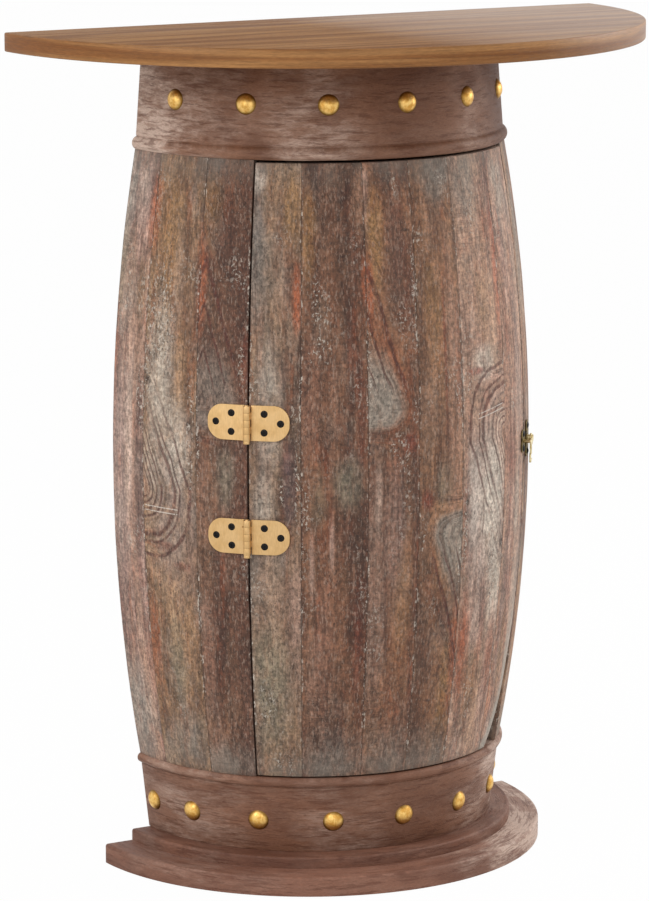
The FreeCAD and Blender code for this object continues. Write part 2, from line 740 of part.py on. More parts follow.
def plate_screws(label, angle, spread):
    """The two dome-headed screws of a plate, and the pilot holes they need."""
    solids, pilots = [], []
    seat = f"({latch_face} + plate_thickness)"
    dome = "((latch_screw_head_radius ^ 2 + latch_screw_head_height ^ 2) / (2 * latch_screw_head_height))"
    for number, side in enumerate(("1", "-1"), start=1):
        level = f"(latch_level + {side} * {spread})"
        head = doc.addObject("Part::Sphere", f"{label}_{number}_dome")
        bind(head, Radius=dome, Angle1=f"asin(({dome} - latch_screw_head_height) / {dome})")
        face_outwards(head, angle, f"{seat} - ({dome} - latch_screw_head_height)", level)
        root = f"({seat} - small_shank_length)"
        shank = radial_rod(f"{label}_{number}_shank", "small_shank_radius", angle, root,
                           "small_shank_length", level)
        pilots.append(radial_rod(f"{label}_{number}_pilot", "small_shank_radius + screw_clearance",
                                 angle, root, "small_shank_length", level))
        solids += [head, shank]
    keep(joined(label, solids))
    return pilots


face_plate("latch_plate", "latch_angle", "latch_plate_height", "latch_screw_spread", "pivot_radius")
latch_pilots = plate_screws("latch_screws", "latch_angle", "latch_screw_spread")
face_plate("keeper_plate", "keeper_angle", "keeper_plate_height", "keeper_screw_spread",
           "keeper_stud_radius")
keeper_pilots = plate_screws("keeper_screws", "keeper_angle", "keeper_screw_spread")

pivot_root = f"({latch_face} - small_shank_length)"
hook_foot = f"({latch_face} + hook_seat)"
pivot_length = "small_shank_length + hook_seat + hook_thickness + hook_end_play"
pivot_shaft = radial_rod("latch_pivot_shaft", "pivot_radius", "latch_angle", pivot_root,
                         pivot_length, "latch_level")
pivot_collar = radial_rod("latch_pivot_collar", "pivot_collar_radius", "latch_angle",
                          f"{latch_face} + plate_thickness", "pivot_collar_height", "latch_level")
pivot_head = radial_rod("latch_pivot_head", "pivot_head_radius", "latch_angle",
                        f"{pivot_root} + {pivot_length}", "pivot_head_height", "latch_level")
keep(joined("latch_pivot", [pivot_shaft, pivot_collar, pivot_head]))
latch_pilots.append(radial_rod("latch_pivot_pilot", "pivot_radius + screw_clearance", "latch_angle",
                               pivot_root, "small_shank_length", "latch_level"))

stud_root = f"({latch_face} - small_shank_length)"
stud_length = "small_shank_length + keeper_stud_height"
keeper_shaft = radial_rod("keeper_stud_shaft", "keeper_stud_radius", "keeper_angle", stud_root,
                          stud_length, "latch_level")
keeper_head = radial_rod("keeper_stud_head", "keeper_head_radius", "keeper_angle",
                         f"{stud_root} + {stud_length}", "keeper_head_height", "latch_level")
keep(joined("keeper_stud", [keeper_shaft, keeper_head]))
keeper_pilots.append(radial_rod("keeper_stud_pilot", "keeper_stud_radius + screw_clearance",
                                "keeper_angle", stud_root, "small_shank_length", "latch_level"))

# the hook lies in a plane square to its pivot; where the stud crosses that plane sets its reach
hook_plane = f"({hook_foot} + hook_thickness / 2)"
hook_reach = f"({hook_plane} * tan(latch_angle - keeper_angle))"


def hook_piece(kind, name, **properties):
    piece = doc.addObject(kind, name)
    bind(piece, **properties)
    return piece


hook_notch_radius = "(keeper_stud_radius + stud_play)"
hook_ring = hook_piece("Part::Cylinder", "hook_ring", Radius="hook_ring_radius", Height="hook_thickness")
hook_arm = hook_piece("Part::Box", "hook_arm", Length="hook_width", Width=hook_reach,
                      Height="hook_thickness",
                      Placement=f"placement(vector(-hook_width / 2; -{hook_reach}; 0); rotation(0; 0; 0))")
hook_eye = hook_piece("Part::Cylinder", "hook_eye", Radius="hook_eye_radius", Height="hook_thickness",
                      Placement=f"placement(vector(0; -{hook_reach}; 0); rotation(0; 0; 0))")
# the tail is the finger tab past the eye, turned away from the notch
hook_tail = hook_piece("Part::Box", "hook_tail", Length="hook_width", Width="hook_tail_length",
                       Height="hook_thickness",
                       Placement=f"placement(vector(-hook_eye_radius; -{hook_reach} - hook_tail_length;"
                                 f" 0); rotation(0; 0; 0))")
hook_bore = hook_piece("Part::Cylinder", "hook_bore", Radius="pivot_radius + pin_clearance",
                       Height="hook_thickness")
hook_notch = hook_piece("Part::Cylinder", "hook_notch", Radius=hook_notch_radius,
                        Height="hook_thickness",
                        Placement=f"placement(vector(0; -{hook_reach}; 0); rotation(0; 0; 0))")
hook_mouth = hook_piece("Part::Box", "hook_mouth", Length="2 * hook_eye_radius",
                        Width=f"2 * {hook_notch_radius}", Height="hook_thickness",
                        Placement=f"placement(vector(0; -{hook_reach} - {hook_notch_radius}; 0);"
                                  f" rotation(0; 0; 0))")
latch_hook = keep(cut_from("latch_hook", joined("latch_hook_arm", [hook_ring, hook_arm, hook_eye,
                                                                   hook_tail]),
                           [hook_bore, hook_notch, hook_mouth]))
face_outwards(latch_hook, "latch_angle", hook_foot, "latch_level")

# ---------------------------------------------------------------- staves

LEFT_SEAMS = ("-90", "-outer_side_seam_angle", "-inner_side_seam_angle", "-frame_edge_angle")
DOOR_SEAMS = ("-door_edge_angle", "first_door_seam_angle", "second_door_seam_angle",
              "third_door_seam_angle", "fourth_door_seam_angle", "last_door_seam_angle",
              "door_edge_angle")
RIGHT_SEAMS = ("frame_edge_angle", "inner_side_seam_angle", "outer_side_seam_angle", "90")


def stave(label, near_angle, far_angle, base, top, cutters):
    blank = turned(label if not cutters else label + "_plank",
                   barrel_section("0", "stave_thickness", base, top), near_angle, far_angle)
    if cutters:
        return keep(cut_from(label, blank, cutters))
    return keep(blank)


for number in range(3):
    frame_pilots = [screw.pilot for screw in frame_screws] if number == 2 else []
    stave(f"left_stave_{number + 1}", LEFT_SEAMS[number], LEFT_SEAMS[number + 1],
          "barrel_base", "barrel_top", frame_pilots)
    stave(f"right_stave_{number + 1}", RIGHT_SEAMS[number], RIGHT_SEAMS[number + 1],
          "barrel_base", "barrel_top", latch_pilots if number == 0 else [])

# the free lower corner of the door is worn away to a long arc
relief = new_body("door_corner_relief")
relief_sketch = new_sketch(relief, "YZ_Plane", "door_corner_relief_outline")
relief_top = "door_base + relief_height"
relief_edge = f"({barrel_radius(relief_top)} * sin(door_edge_angle - last_door_seam_angle))"
draw_outline(relief_sketch, [
    (f"{relief_edge} - relief_width", "door_base", "relief_radius", 1),
    (relief_edge, relief_top),
    (f"{relief_edge} + relief_width", relief_top),
    (f"{relief_edge} + relief_width", "door_base - relief_width"),
    (f"{relief_edge} - relief_width", "door_base - relief_width"),
])
relief_pad = relief.newObject("PartDesign::Pad", "door_corner_relief_pad")
relief_pad.Profile = relief_sketch
bind(relief_pad, Length="2 * belly_radius")
turn_about_axis(relief, "last_door_seam_angle")

door_cutters = {1: [screw.pilot for screw in door_screws], 6: [relief] + keeper_pilots}
for number in range(1, 7):
    stave(f"door_stave_{number}", DOOR_SEAMS[number - 1], DOOR_SEAMS[number],
          "door_base", "door_top", door_cutters.get(number, []))


def lining(label, near_angle, far_angle, inner_offset, base, top):
    """A curved piece behind the staves."""
    return keep(turned(label, barrel_section("lining_offset", inner_offset, base, top),
                       near_angle, far_angle))


lining("hinge_jamb", "-jamb_far_angle", "-frame_edge_angle", "jamb_inner_offset",
       "barrel_base", "barrel_top")
lining("strike_jamb", "strike_near_angle", "jamb_far_angle", "jamb_inner_offset",
       "barrel_base", "barrel_top")
ledge_end_angle = "strike_near_angle - ledge_end_margin"
for place in ("lower", "upper"):
    foot = f"{place}_ledge_level"
    lining(f"{place}_door_ledge", f"-({ledge_end_angle})", ledge_end_angle,
           "lining_offset + ledge_thickness", foot, f"{foot} + ledge_height")

# ---------------------------------------------------------------- shelf and its cleats

shelf_blank = half_round("shelf_board", "shelf_radius", "shelf_base", "shelf_top_level")
back_clearing = doc.addObject("Part::Box", "shelf_back_clearing")
bind(back_clearing, Length="2 * belly_radius", Width="back_thickness + rail_thickness",
     Height="2 * board_thickness",
     Placement="placement(vector(-belly_radius; front_back_face; shelf_base - board_thickness / 2);"
               " rotation(0; 0; 0))")
keep(cut_from("shelf", shelf_blank, [back_clearing]))

cleat_outer = barrel_radius("cleat_base", "lining_offset")
cleat_section = [
    (f"{cleat_outer} - cleat_depth", "cleat_base"),
    (cleat_outer, "cleat_base"),
    (cleat_outer, "shelf_base"),
    (f"{cleat_outer} - cleat_depth", "shelf_base"),
]
cleat_back_angle = "(90 - asin(cleat_back_gap / belly_radius) / 1 deg)"
cleat_front_angle = "(jamb_far_angle + cleat_jamb_angle)"
keep(turned("left_shelf_cleat", cleat_section, f"-{cleat_back_angle}", f"-{cleat_front_angle}"))
keep(turned("right_shelf_cleat", cleat_section, cleat_front_angle, cleat_back_angle))
back_cleat = doc.addObject("Part::Box", "back_shelf_cleat")
back_cleat.Label = "back_shelf_cleat"
bind(back_cleat, Length="back_cleat_width", Width="board_thickness", Height="cleat_height",
     Placement="placement(vector(-back_cleat_width / 2; front_back_face - board_thickness;"
               " cleat_base); rotation(0; 0; 0))")
keep(back_cleat)

# ---------------------------------------------------------------- checks and export

doc.recompute()

for item in doc.Objects:
    faults = [state for state in item.State if state in ("Invalid", "Error")]
    if faults:
        raise RuntimeError(f"{item.Name}: {item.State}")

os.makedirs("parts", exist_ok=True)
for node in nodes:
    shape = node.Shape
    if shape.isNull() or not shape.isValid() or not shape.Solids:
        raise RuntimeError(f"{node.Label}: no valid solid")
    shape.exportStep(os.path.join("parts", node.Label + ".step"))
    print(f"{node.Label}: {len(shape.Solids)} solids, {shape.Volume / 1000:.1f} cm3")
print(len(nodes), "nodes")
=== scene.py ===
import math
from collections import namedtuple

import bmesh
import bpy
from mathutils import Matrix, Vector, noise


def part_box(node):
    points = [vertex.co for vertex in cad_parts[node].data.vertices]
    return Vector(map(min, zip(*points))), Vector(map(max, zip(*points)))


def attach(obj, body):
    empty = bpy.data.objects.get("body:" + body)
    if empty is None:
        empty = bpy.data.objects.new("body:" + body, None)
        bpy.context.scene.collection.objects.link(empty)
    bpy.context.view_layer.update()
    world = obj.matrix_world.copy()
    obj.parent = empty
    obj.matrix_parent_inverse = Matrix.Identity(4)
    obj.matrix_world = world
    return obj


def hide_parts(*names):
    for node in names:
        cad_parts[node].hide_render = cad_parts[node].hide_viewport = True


# The looks of a half-barrel bar cabinet. Everything is in metres, +Z up, with the barrel's front
# towards -Y. Angles are in degrees around the barrel's axis, from the front, positive towards +X.

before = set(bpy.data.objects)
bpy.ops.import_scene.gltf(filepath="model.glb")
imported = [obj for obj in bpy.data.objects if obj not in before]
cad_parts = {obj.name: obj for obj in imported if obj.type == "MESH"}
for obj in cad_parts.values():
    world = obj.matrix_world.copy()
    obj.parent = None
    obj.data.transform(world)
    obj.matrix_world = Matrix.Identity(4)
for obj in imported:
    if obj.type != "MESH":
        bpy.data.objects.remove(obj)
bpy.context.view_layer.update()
scene = bpy.context.scene

# ------------------------------------------------------------------ sizes

tabletop_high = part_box("tabletop")[1]
left_stave_low, left_stave_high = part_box("left_stave_1")
door_stave_low, door_stave_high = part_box("door_stave_3")

AXIS_Y = tabletop_high.y
TABLETOP_RADIUS = tabletop_high.x
BARREL_BASE = left_stave_low.z
BARREL_TOP = left_stave_high.z
BARREL_MIDDLE = (BARREL_BASE + BARREL_TOP) / 2
BELLY_RADIUS = -left_stave_low.x
BARREL_END_RADIUS = 0.222
BULGE = BELLY_RADIUS - BARREL_END_RADIUS
PROFILE_RADIUS = ((BARREL_TOP - BARREL_BASE) ** 2 / 4 + BULGE ** 2) / (2 * BULGE)
DOOR_BASE = door_stave_low.z
DOOR_TOP = door_stave_high.z
STAVE_THICKNESS = 0.015

# a band has a bead at one end: the levels of that end and of the plain one, and its face's radius there
Band = namedtuple("Band", "bead_end bead_radius plain_end plain_radius bead_height")
LOWER_BAND = Band(bead_end=BARREL_BASE, bead_radius=0.2215, plain_end=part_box("lower_band")[0].z,
                  plain_radius=0.2110, bead_height=0.011)
UPPER_BAND = Band(bead_end=BARREL_TOP, bead_radius=0.2215, plain_end=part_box("upper_band")[1].z,
                  plain_radius=0.2126, bead_height=0.014)
BAND_THICKNESS = 0.009
BEAD_PROUD = 0.0045
GROOVE_DEPTH = 0.0009
GROOVE_WIDTH = 0.0016

NAIL_RADIUS = 0.0117
NAIL_HEIGHT = 0.0055
UPPER_NAIL_LEVEL = BARREL_TOP + 0.060
UPPER_NAIL_PITCH = 24
LOWER_NAIL_LEVEL = LOWER_BAND.plain_end + 0.036
LOWER_NAIL_PITCH = 22.5
LOWER_END_NAIL_INSET = 0.0205

# the door's edges, its last seam, and the corner worn off its free lower end
DOOR_EDGE = 44.77
FRAME_EDGE = 45.23
LAST_DOOR_SEAM = 30.8
RELIEF_WIDTH = 0.039
RELIEF_HEIGHT = 0.076
RELIEF_RADIUS = 0.140

HINGE_ANGLE = -45
HINGE_LEVELS = (BARREL_MIDDLE + 0.0615, BARREL_MIDDLE - 0.0655)
HINGE_SCREW_SPOTS = ((0.0186, 0.0103), (0.0186, -0.0103), (0.0366, 0.0))
HINGE_SCREW_RADIUS = 0.0040
HINGE_SCREW_HEIGHT = 0.0014
HINGE_SCREW_PROUD = 0.0002

# how finely the round shapes are cut
DISC_SEGMENTS = 240
HOOP_STEPS = 120
BEAD_STEPS = 12
STAVE_ROWS = 90
STAVE_STEP_ANGLE = 1.5
NAIL_STEPS = 28
NAIL_RINGS = 6
SCREW_SEGMENTS = 24

# how far edges are eased, and from what angle they are: in new pieces and in nodes that stay, and
# the angle from which an edge is shaded sharp
HOOP_EASING = 0.0006
STAVE_EASING = 0.0003
SHARP_ANGLE = 50
NODE_SHARP_ANGLE = 40
SHADING_ANGLE = 35

# the wear of the staves, and of the rim above the door's worn corner: its depth at the door's edge,
# its share of the last stave's width, and the level and length over which it fades out; the bumps are
# to the degree, to the metre of height and from one stave to the next
SEAM_GAP = 0.00005
EDGE_WEAR = 0.0003
FACE_WEAR = 0.0005
RIM_WEAR = 0.0025
RIM_WIDTH = 0.2
RIM_TOP = 0.27
RIM_FADE = 0.08
WEAR_BUMPS = (0.35, 22, 5.0)
DENTS_TO_THE_METRE = 260
DENT_DEPTH = 0.00022


def barrel_radius(level):
    """The barrel's outer radius at a level."""
    return BELLY_RADIUS - PROFILE_RADIUS + math.sqrt(PROFILE_RADIUS ** 2 - (level - BARREL_MIDDLE) ** 2)


def girth(angle):
    """How far around the belly an angle reaches."""
    return math.radians(angle) * BELLY_RADIUS


def band_slope(band):
    """How much the radius of a band's face grows for each metre up."""
    return (band.plain_radius - band.bead_radius) / (band.plain_end - band.bead_end)


def band_radius(band, level):
    """The radius of a band's face at a level."""
    return band.bead_radius + band_slope(band) * (level - band.bead_end)


def about_axis(radius, angle, level):
    """The point at a radius and an angle around the barrel's axis."""
    turn = math.radians(angle)
    return Vector((radius * math.sin(turn), AXIS_Y - radius * math.cos(turn), level))


def outwards(radius, angle, level, tilt=0.0):
    """The matrix that points +Z outwards at an angle, tilted up by the tilt in degrees."""
    return (Matrix.Translation(about_axis(radius, angle, level))
            @ Matrix.Rotation(math.radians(angle), 4, "Z")
            @ Matrix.Rotation(math.radians(90 - tilt), 4, "X"))


def relief_centre():
    """The centre of the arc worn off the door's corner, from the door's edge and its foot."""
    chord = Vector((RELIEF_WIDTH, RELIEF_HEIGHT))
    left = Vector((-chord.y, chord.x)).normalized()
    distance = math.sqrt(RELIEF_RADIUS ** 2 - chord.length_squared / 4)
    return Vector((-RELIEF_WIDTH, 0)) + chord / 2 + left * distance


RELIEF_CENTRE = relief_centre()
RELIEF_EDGE = barrel_radius(DOOR_BASE + RELIEF_HEIGHT) * math.sin(math.radians(DOOR_EDGE - LAST_DOOR_SEAM))

# ------------------------------------------------------------------ colours

def colour(code):
    """A colour written as its hexadecimal code, as the shader wants it."""
    parts = [int(code[at:at + 2], 16) / 255 for at in (0, 2, 4)]
    linear = [part / 12.92 if part <= 0.04045 else ((part + 0.055) / 1.055) ** 2.4 for part in parts]
    return (*linear, 1.0)


def tinted(tone, red, green, blue):
    """A colour with each of its channels made weaker or stronger."""
    return (min(tone[0] * red, 1), min(tone[1] * green, 1), min(tone[2] * blue, 1), 1.0)


# ------------------------------------------------------------------ materials

class Shading:
    """A node tree being drawn. Most methods add a node and give back its output."""

    def __init__(self, tree):
        self.tree = tree

    def feed(self, socket, value):
        if isinstance(value, bpy.types.NodeSocket):
            self.tree.links.new(value, socket)
        else:
            socket.default_value = value

    def node(self, kind, *values, sockets=(), **settings):
        """A new node with its settings. The values go to its first sockets, or to the ones named."""
        node = self.tree.nodes.new("ShaderNode" + kind)
        for name, setting in settings.items():
            setattr(node, name, setting)
        for socket, value in zip(sockets or range(len(values)), values):
            self.feed(node.inputs[socket], value)
        return node

    def reckon(self, operation, *values):
        return self.node("Math", *values, operation=operation).outputs[0]

    def chain(self, operation, value, *others):
        for other in others:
            value = self.reckon(operation, value, other)
        return value

    def plus(self, *values):
        return self.chain("ADD", *values)

    def less(self, *values):
        """The first value without the others."""
        return self.chain("SUBTRACT", *values)

    def times(self, *values):
        return self.chain("MULTIPLY", *values)

    def most(self, *values):
        return self.chain("MAXIMUM", *values)

    def least(self, *values):
        return self.chain("MINIMUM", *values)

    def scaled(self, value, factor, start):
        """The value times a factor, counted from a start."""
        return self.reckon("MULTIPLY_ADD", value, factor, start)

    def away(self, value, centre=0.0):
        """How far the value is from a centre, to either side."""
        return self.reckon("ABSOLUTE", self.less(value, centre))

    def weighed(self, *parts):
        """The sum of values that each come with a weight."""
        return self.plus(*(self.times(value, weight) for value, weight in parts))

    def split(self, vector):
        return self.node("SeparateXYZ", vector).outputs

    def join(self, *parts):
        return self.node("CombineXYZ", *parts).outputs[0]

    def length(self, *parts):
        return self.node("VectorMath", self.join(*parts), operation="LENGTH").outputs["Value"]

    def grain(self, vector, stretch, shift=(0, 0, 0), detail=2.0, rough=0.5, bend=0.0):
        """Noise on the vector stretched by so many bumps to the metre each way."""
        stretched = self.node("VectorMath", vector, stretch, shift, operation="MULTIPLY_ADD").outputs[0]
        return self.node("TexNoise", stretched, 1.0, detail, rough, bend,
                         sockets=("Vector", "Scale", "Detail", "Roughness", "Distortion")).outputs[0]

    def fade(self, value, start, end, low=0.0, high=1.0):
        """Goes smoothly from low to high while the value goes from start to end."""
        return self.node("MapRange", value, start, end, low, high,
                         interpolation_type="SMOOTHSTEP").outputs[0]

    def blend(self, share, first, second):
        """Goes from the first value to the second as the share grows."""
        return self.node("Mix", share, first, second, sockets=(0, 2, 3)).outputs[0]

    def mix(self, share, first, second, way="MIX"):
        """Goes from the first colour to the second as the share grows."""
        return self.node("Mix", share, first, second, sockets=(0, 6, 7), data_type="RGBA",
                         blend_type=way).outputs[2]

    def show_to_eye(self, output, usual, seen, share):
        """Shows a share of the seen shader to the eye, and gives light with the usual one."""
        rays = self.node("LightPath").outputs
        eye_ray = self.most(rays["Is Camera Ray"], rays["Is Glossy Ray"], rays["Is Transmission Ray"])
        shown = self.node("MixShader", self.times(eye_ray, share), usual, seen).outputs[0]
        self.tree.links.new(shown, self.tree.nodes[output].inputs["Surface"])


class Finish(Shading):
    """A material being drawn, with the colour that it has so far."""

    def __init__(self, name):
        self.material = bpy.data.materials.new(name)
        self.material.use_nodes = True
        super().__init__(self.material.node_tree)
        self.shader = self.tree.nodes["Principled BSDF"]
        self.place = self.node("TexCoord").outputs["Object"]
        self.base = None

    def around_axis(self):
        """Distance around the barrel at its belly, distance from its axis, and level."""
        x, y, z = self.split(self.place)
        depth = self.less(AXIS_Y, y)
        across = self.times(self.reckon("ARCTAN2", x, depth), BELLY_RADIUS)
        return across, self.length(x, depth, 0.0), z

    def lay(self, share, tone):
        """Lays a share of a tone over the colour."""
        self.base = self.mix(share, self.base, tone)

    def shaded(self, tone, factor):
        """A tone made darker or lighter by a factor."""
        return self.mix(1.0, tone, self.join(factor, factor, factor), "MULTIPLY")

    def shade(self, *fading):
        """Makes the colour darker or lighter by a factor that fades as told."""
        self.base = self.shaded(self.base, self.fade(*fading))

    def raise_surface(self, height, depth, strength=1.0):
        bump = self.node("Bump", strength, depth, height, sockets=("Strength", "Distance", "Height"))
        self.tree.links.new(bump.outputs[0], self.shader.inputs["Normal"])

    def done(self, **values):
        """The finished material, with its colour and the other values that its shader gets."""
        for name, value in dict(values, Base_Color=self.base).items():
            self.feed(self.shader.inputs[name.replace("_", " ")], value)
        return self.material


# Marks in the wood, each at an angle and a level. A mark fades out over its half width, and over
# its rise and fall above and below the level. A knot is pointed at one end, up (+1) or down (-1),
# lies to one side of its angle, and has rings at so many times its size.
Stain = namedtuple("Stain", "angle level width rise fall tone strength")
Chips = namedtuple("Chips", "angle level width rise fall")
SawMarks = namedtuple("SawMarks", "angle level width rise fall")
Knot = namedtuple("Knot", "angle level width rise fall side point rings heart")
Scratch = namedtuple("Scratch", "angle level length slope")

RUST = "935236"
OCHRE = "8a6844"
MAUVE = "584440"
GREY = "958d83"
DULL_GREY = "7d766d"
GREY_GREEN = "827d6b"
LIGHT_GREY = "b8ad9f"
WHITISH = "cabfb2"
PINKISH = "a88a7c"
ROSE_BROWN = "85604f"
RED_BROWN = "6c382b"
DARK_BROWN = "4a362b"

EYE_RINGS = ((0.22, 0.028), (0.34, 0.030), (0.47, 0.032), (0.62, 0.038), (0.98, 0.062), (1.12, 0.034),
             (1.38, 0.054))
FLAME_RINGS = ((0.36, 0.026), (0.68, 0.038), (1.0, 0.058))


def eye(angle, level, side, point):
    """A knot cut across the middle by the edge of its plank, round at its blunt end."""
    rise, fall = (0.095, 0.057) if point > 0 else (0.057, 0.095)
    return Knot(angle, level, 0.050, rise, fall, side, point, EYE_RINGS, "96705a")


def flame(angle, level, side, point, heart="8a8277"):
    """A long pointed knot, with weathered wood in its blunt end."""
    rise, fall = (0.130, 0.032) if point > 0 else (0.032, 0.130)
    return Knot(angle, level, 0.054, rise, fall, side, point, FLAME_RINGS, heart)


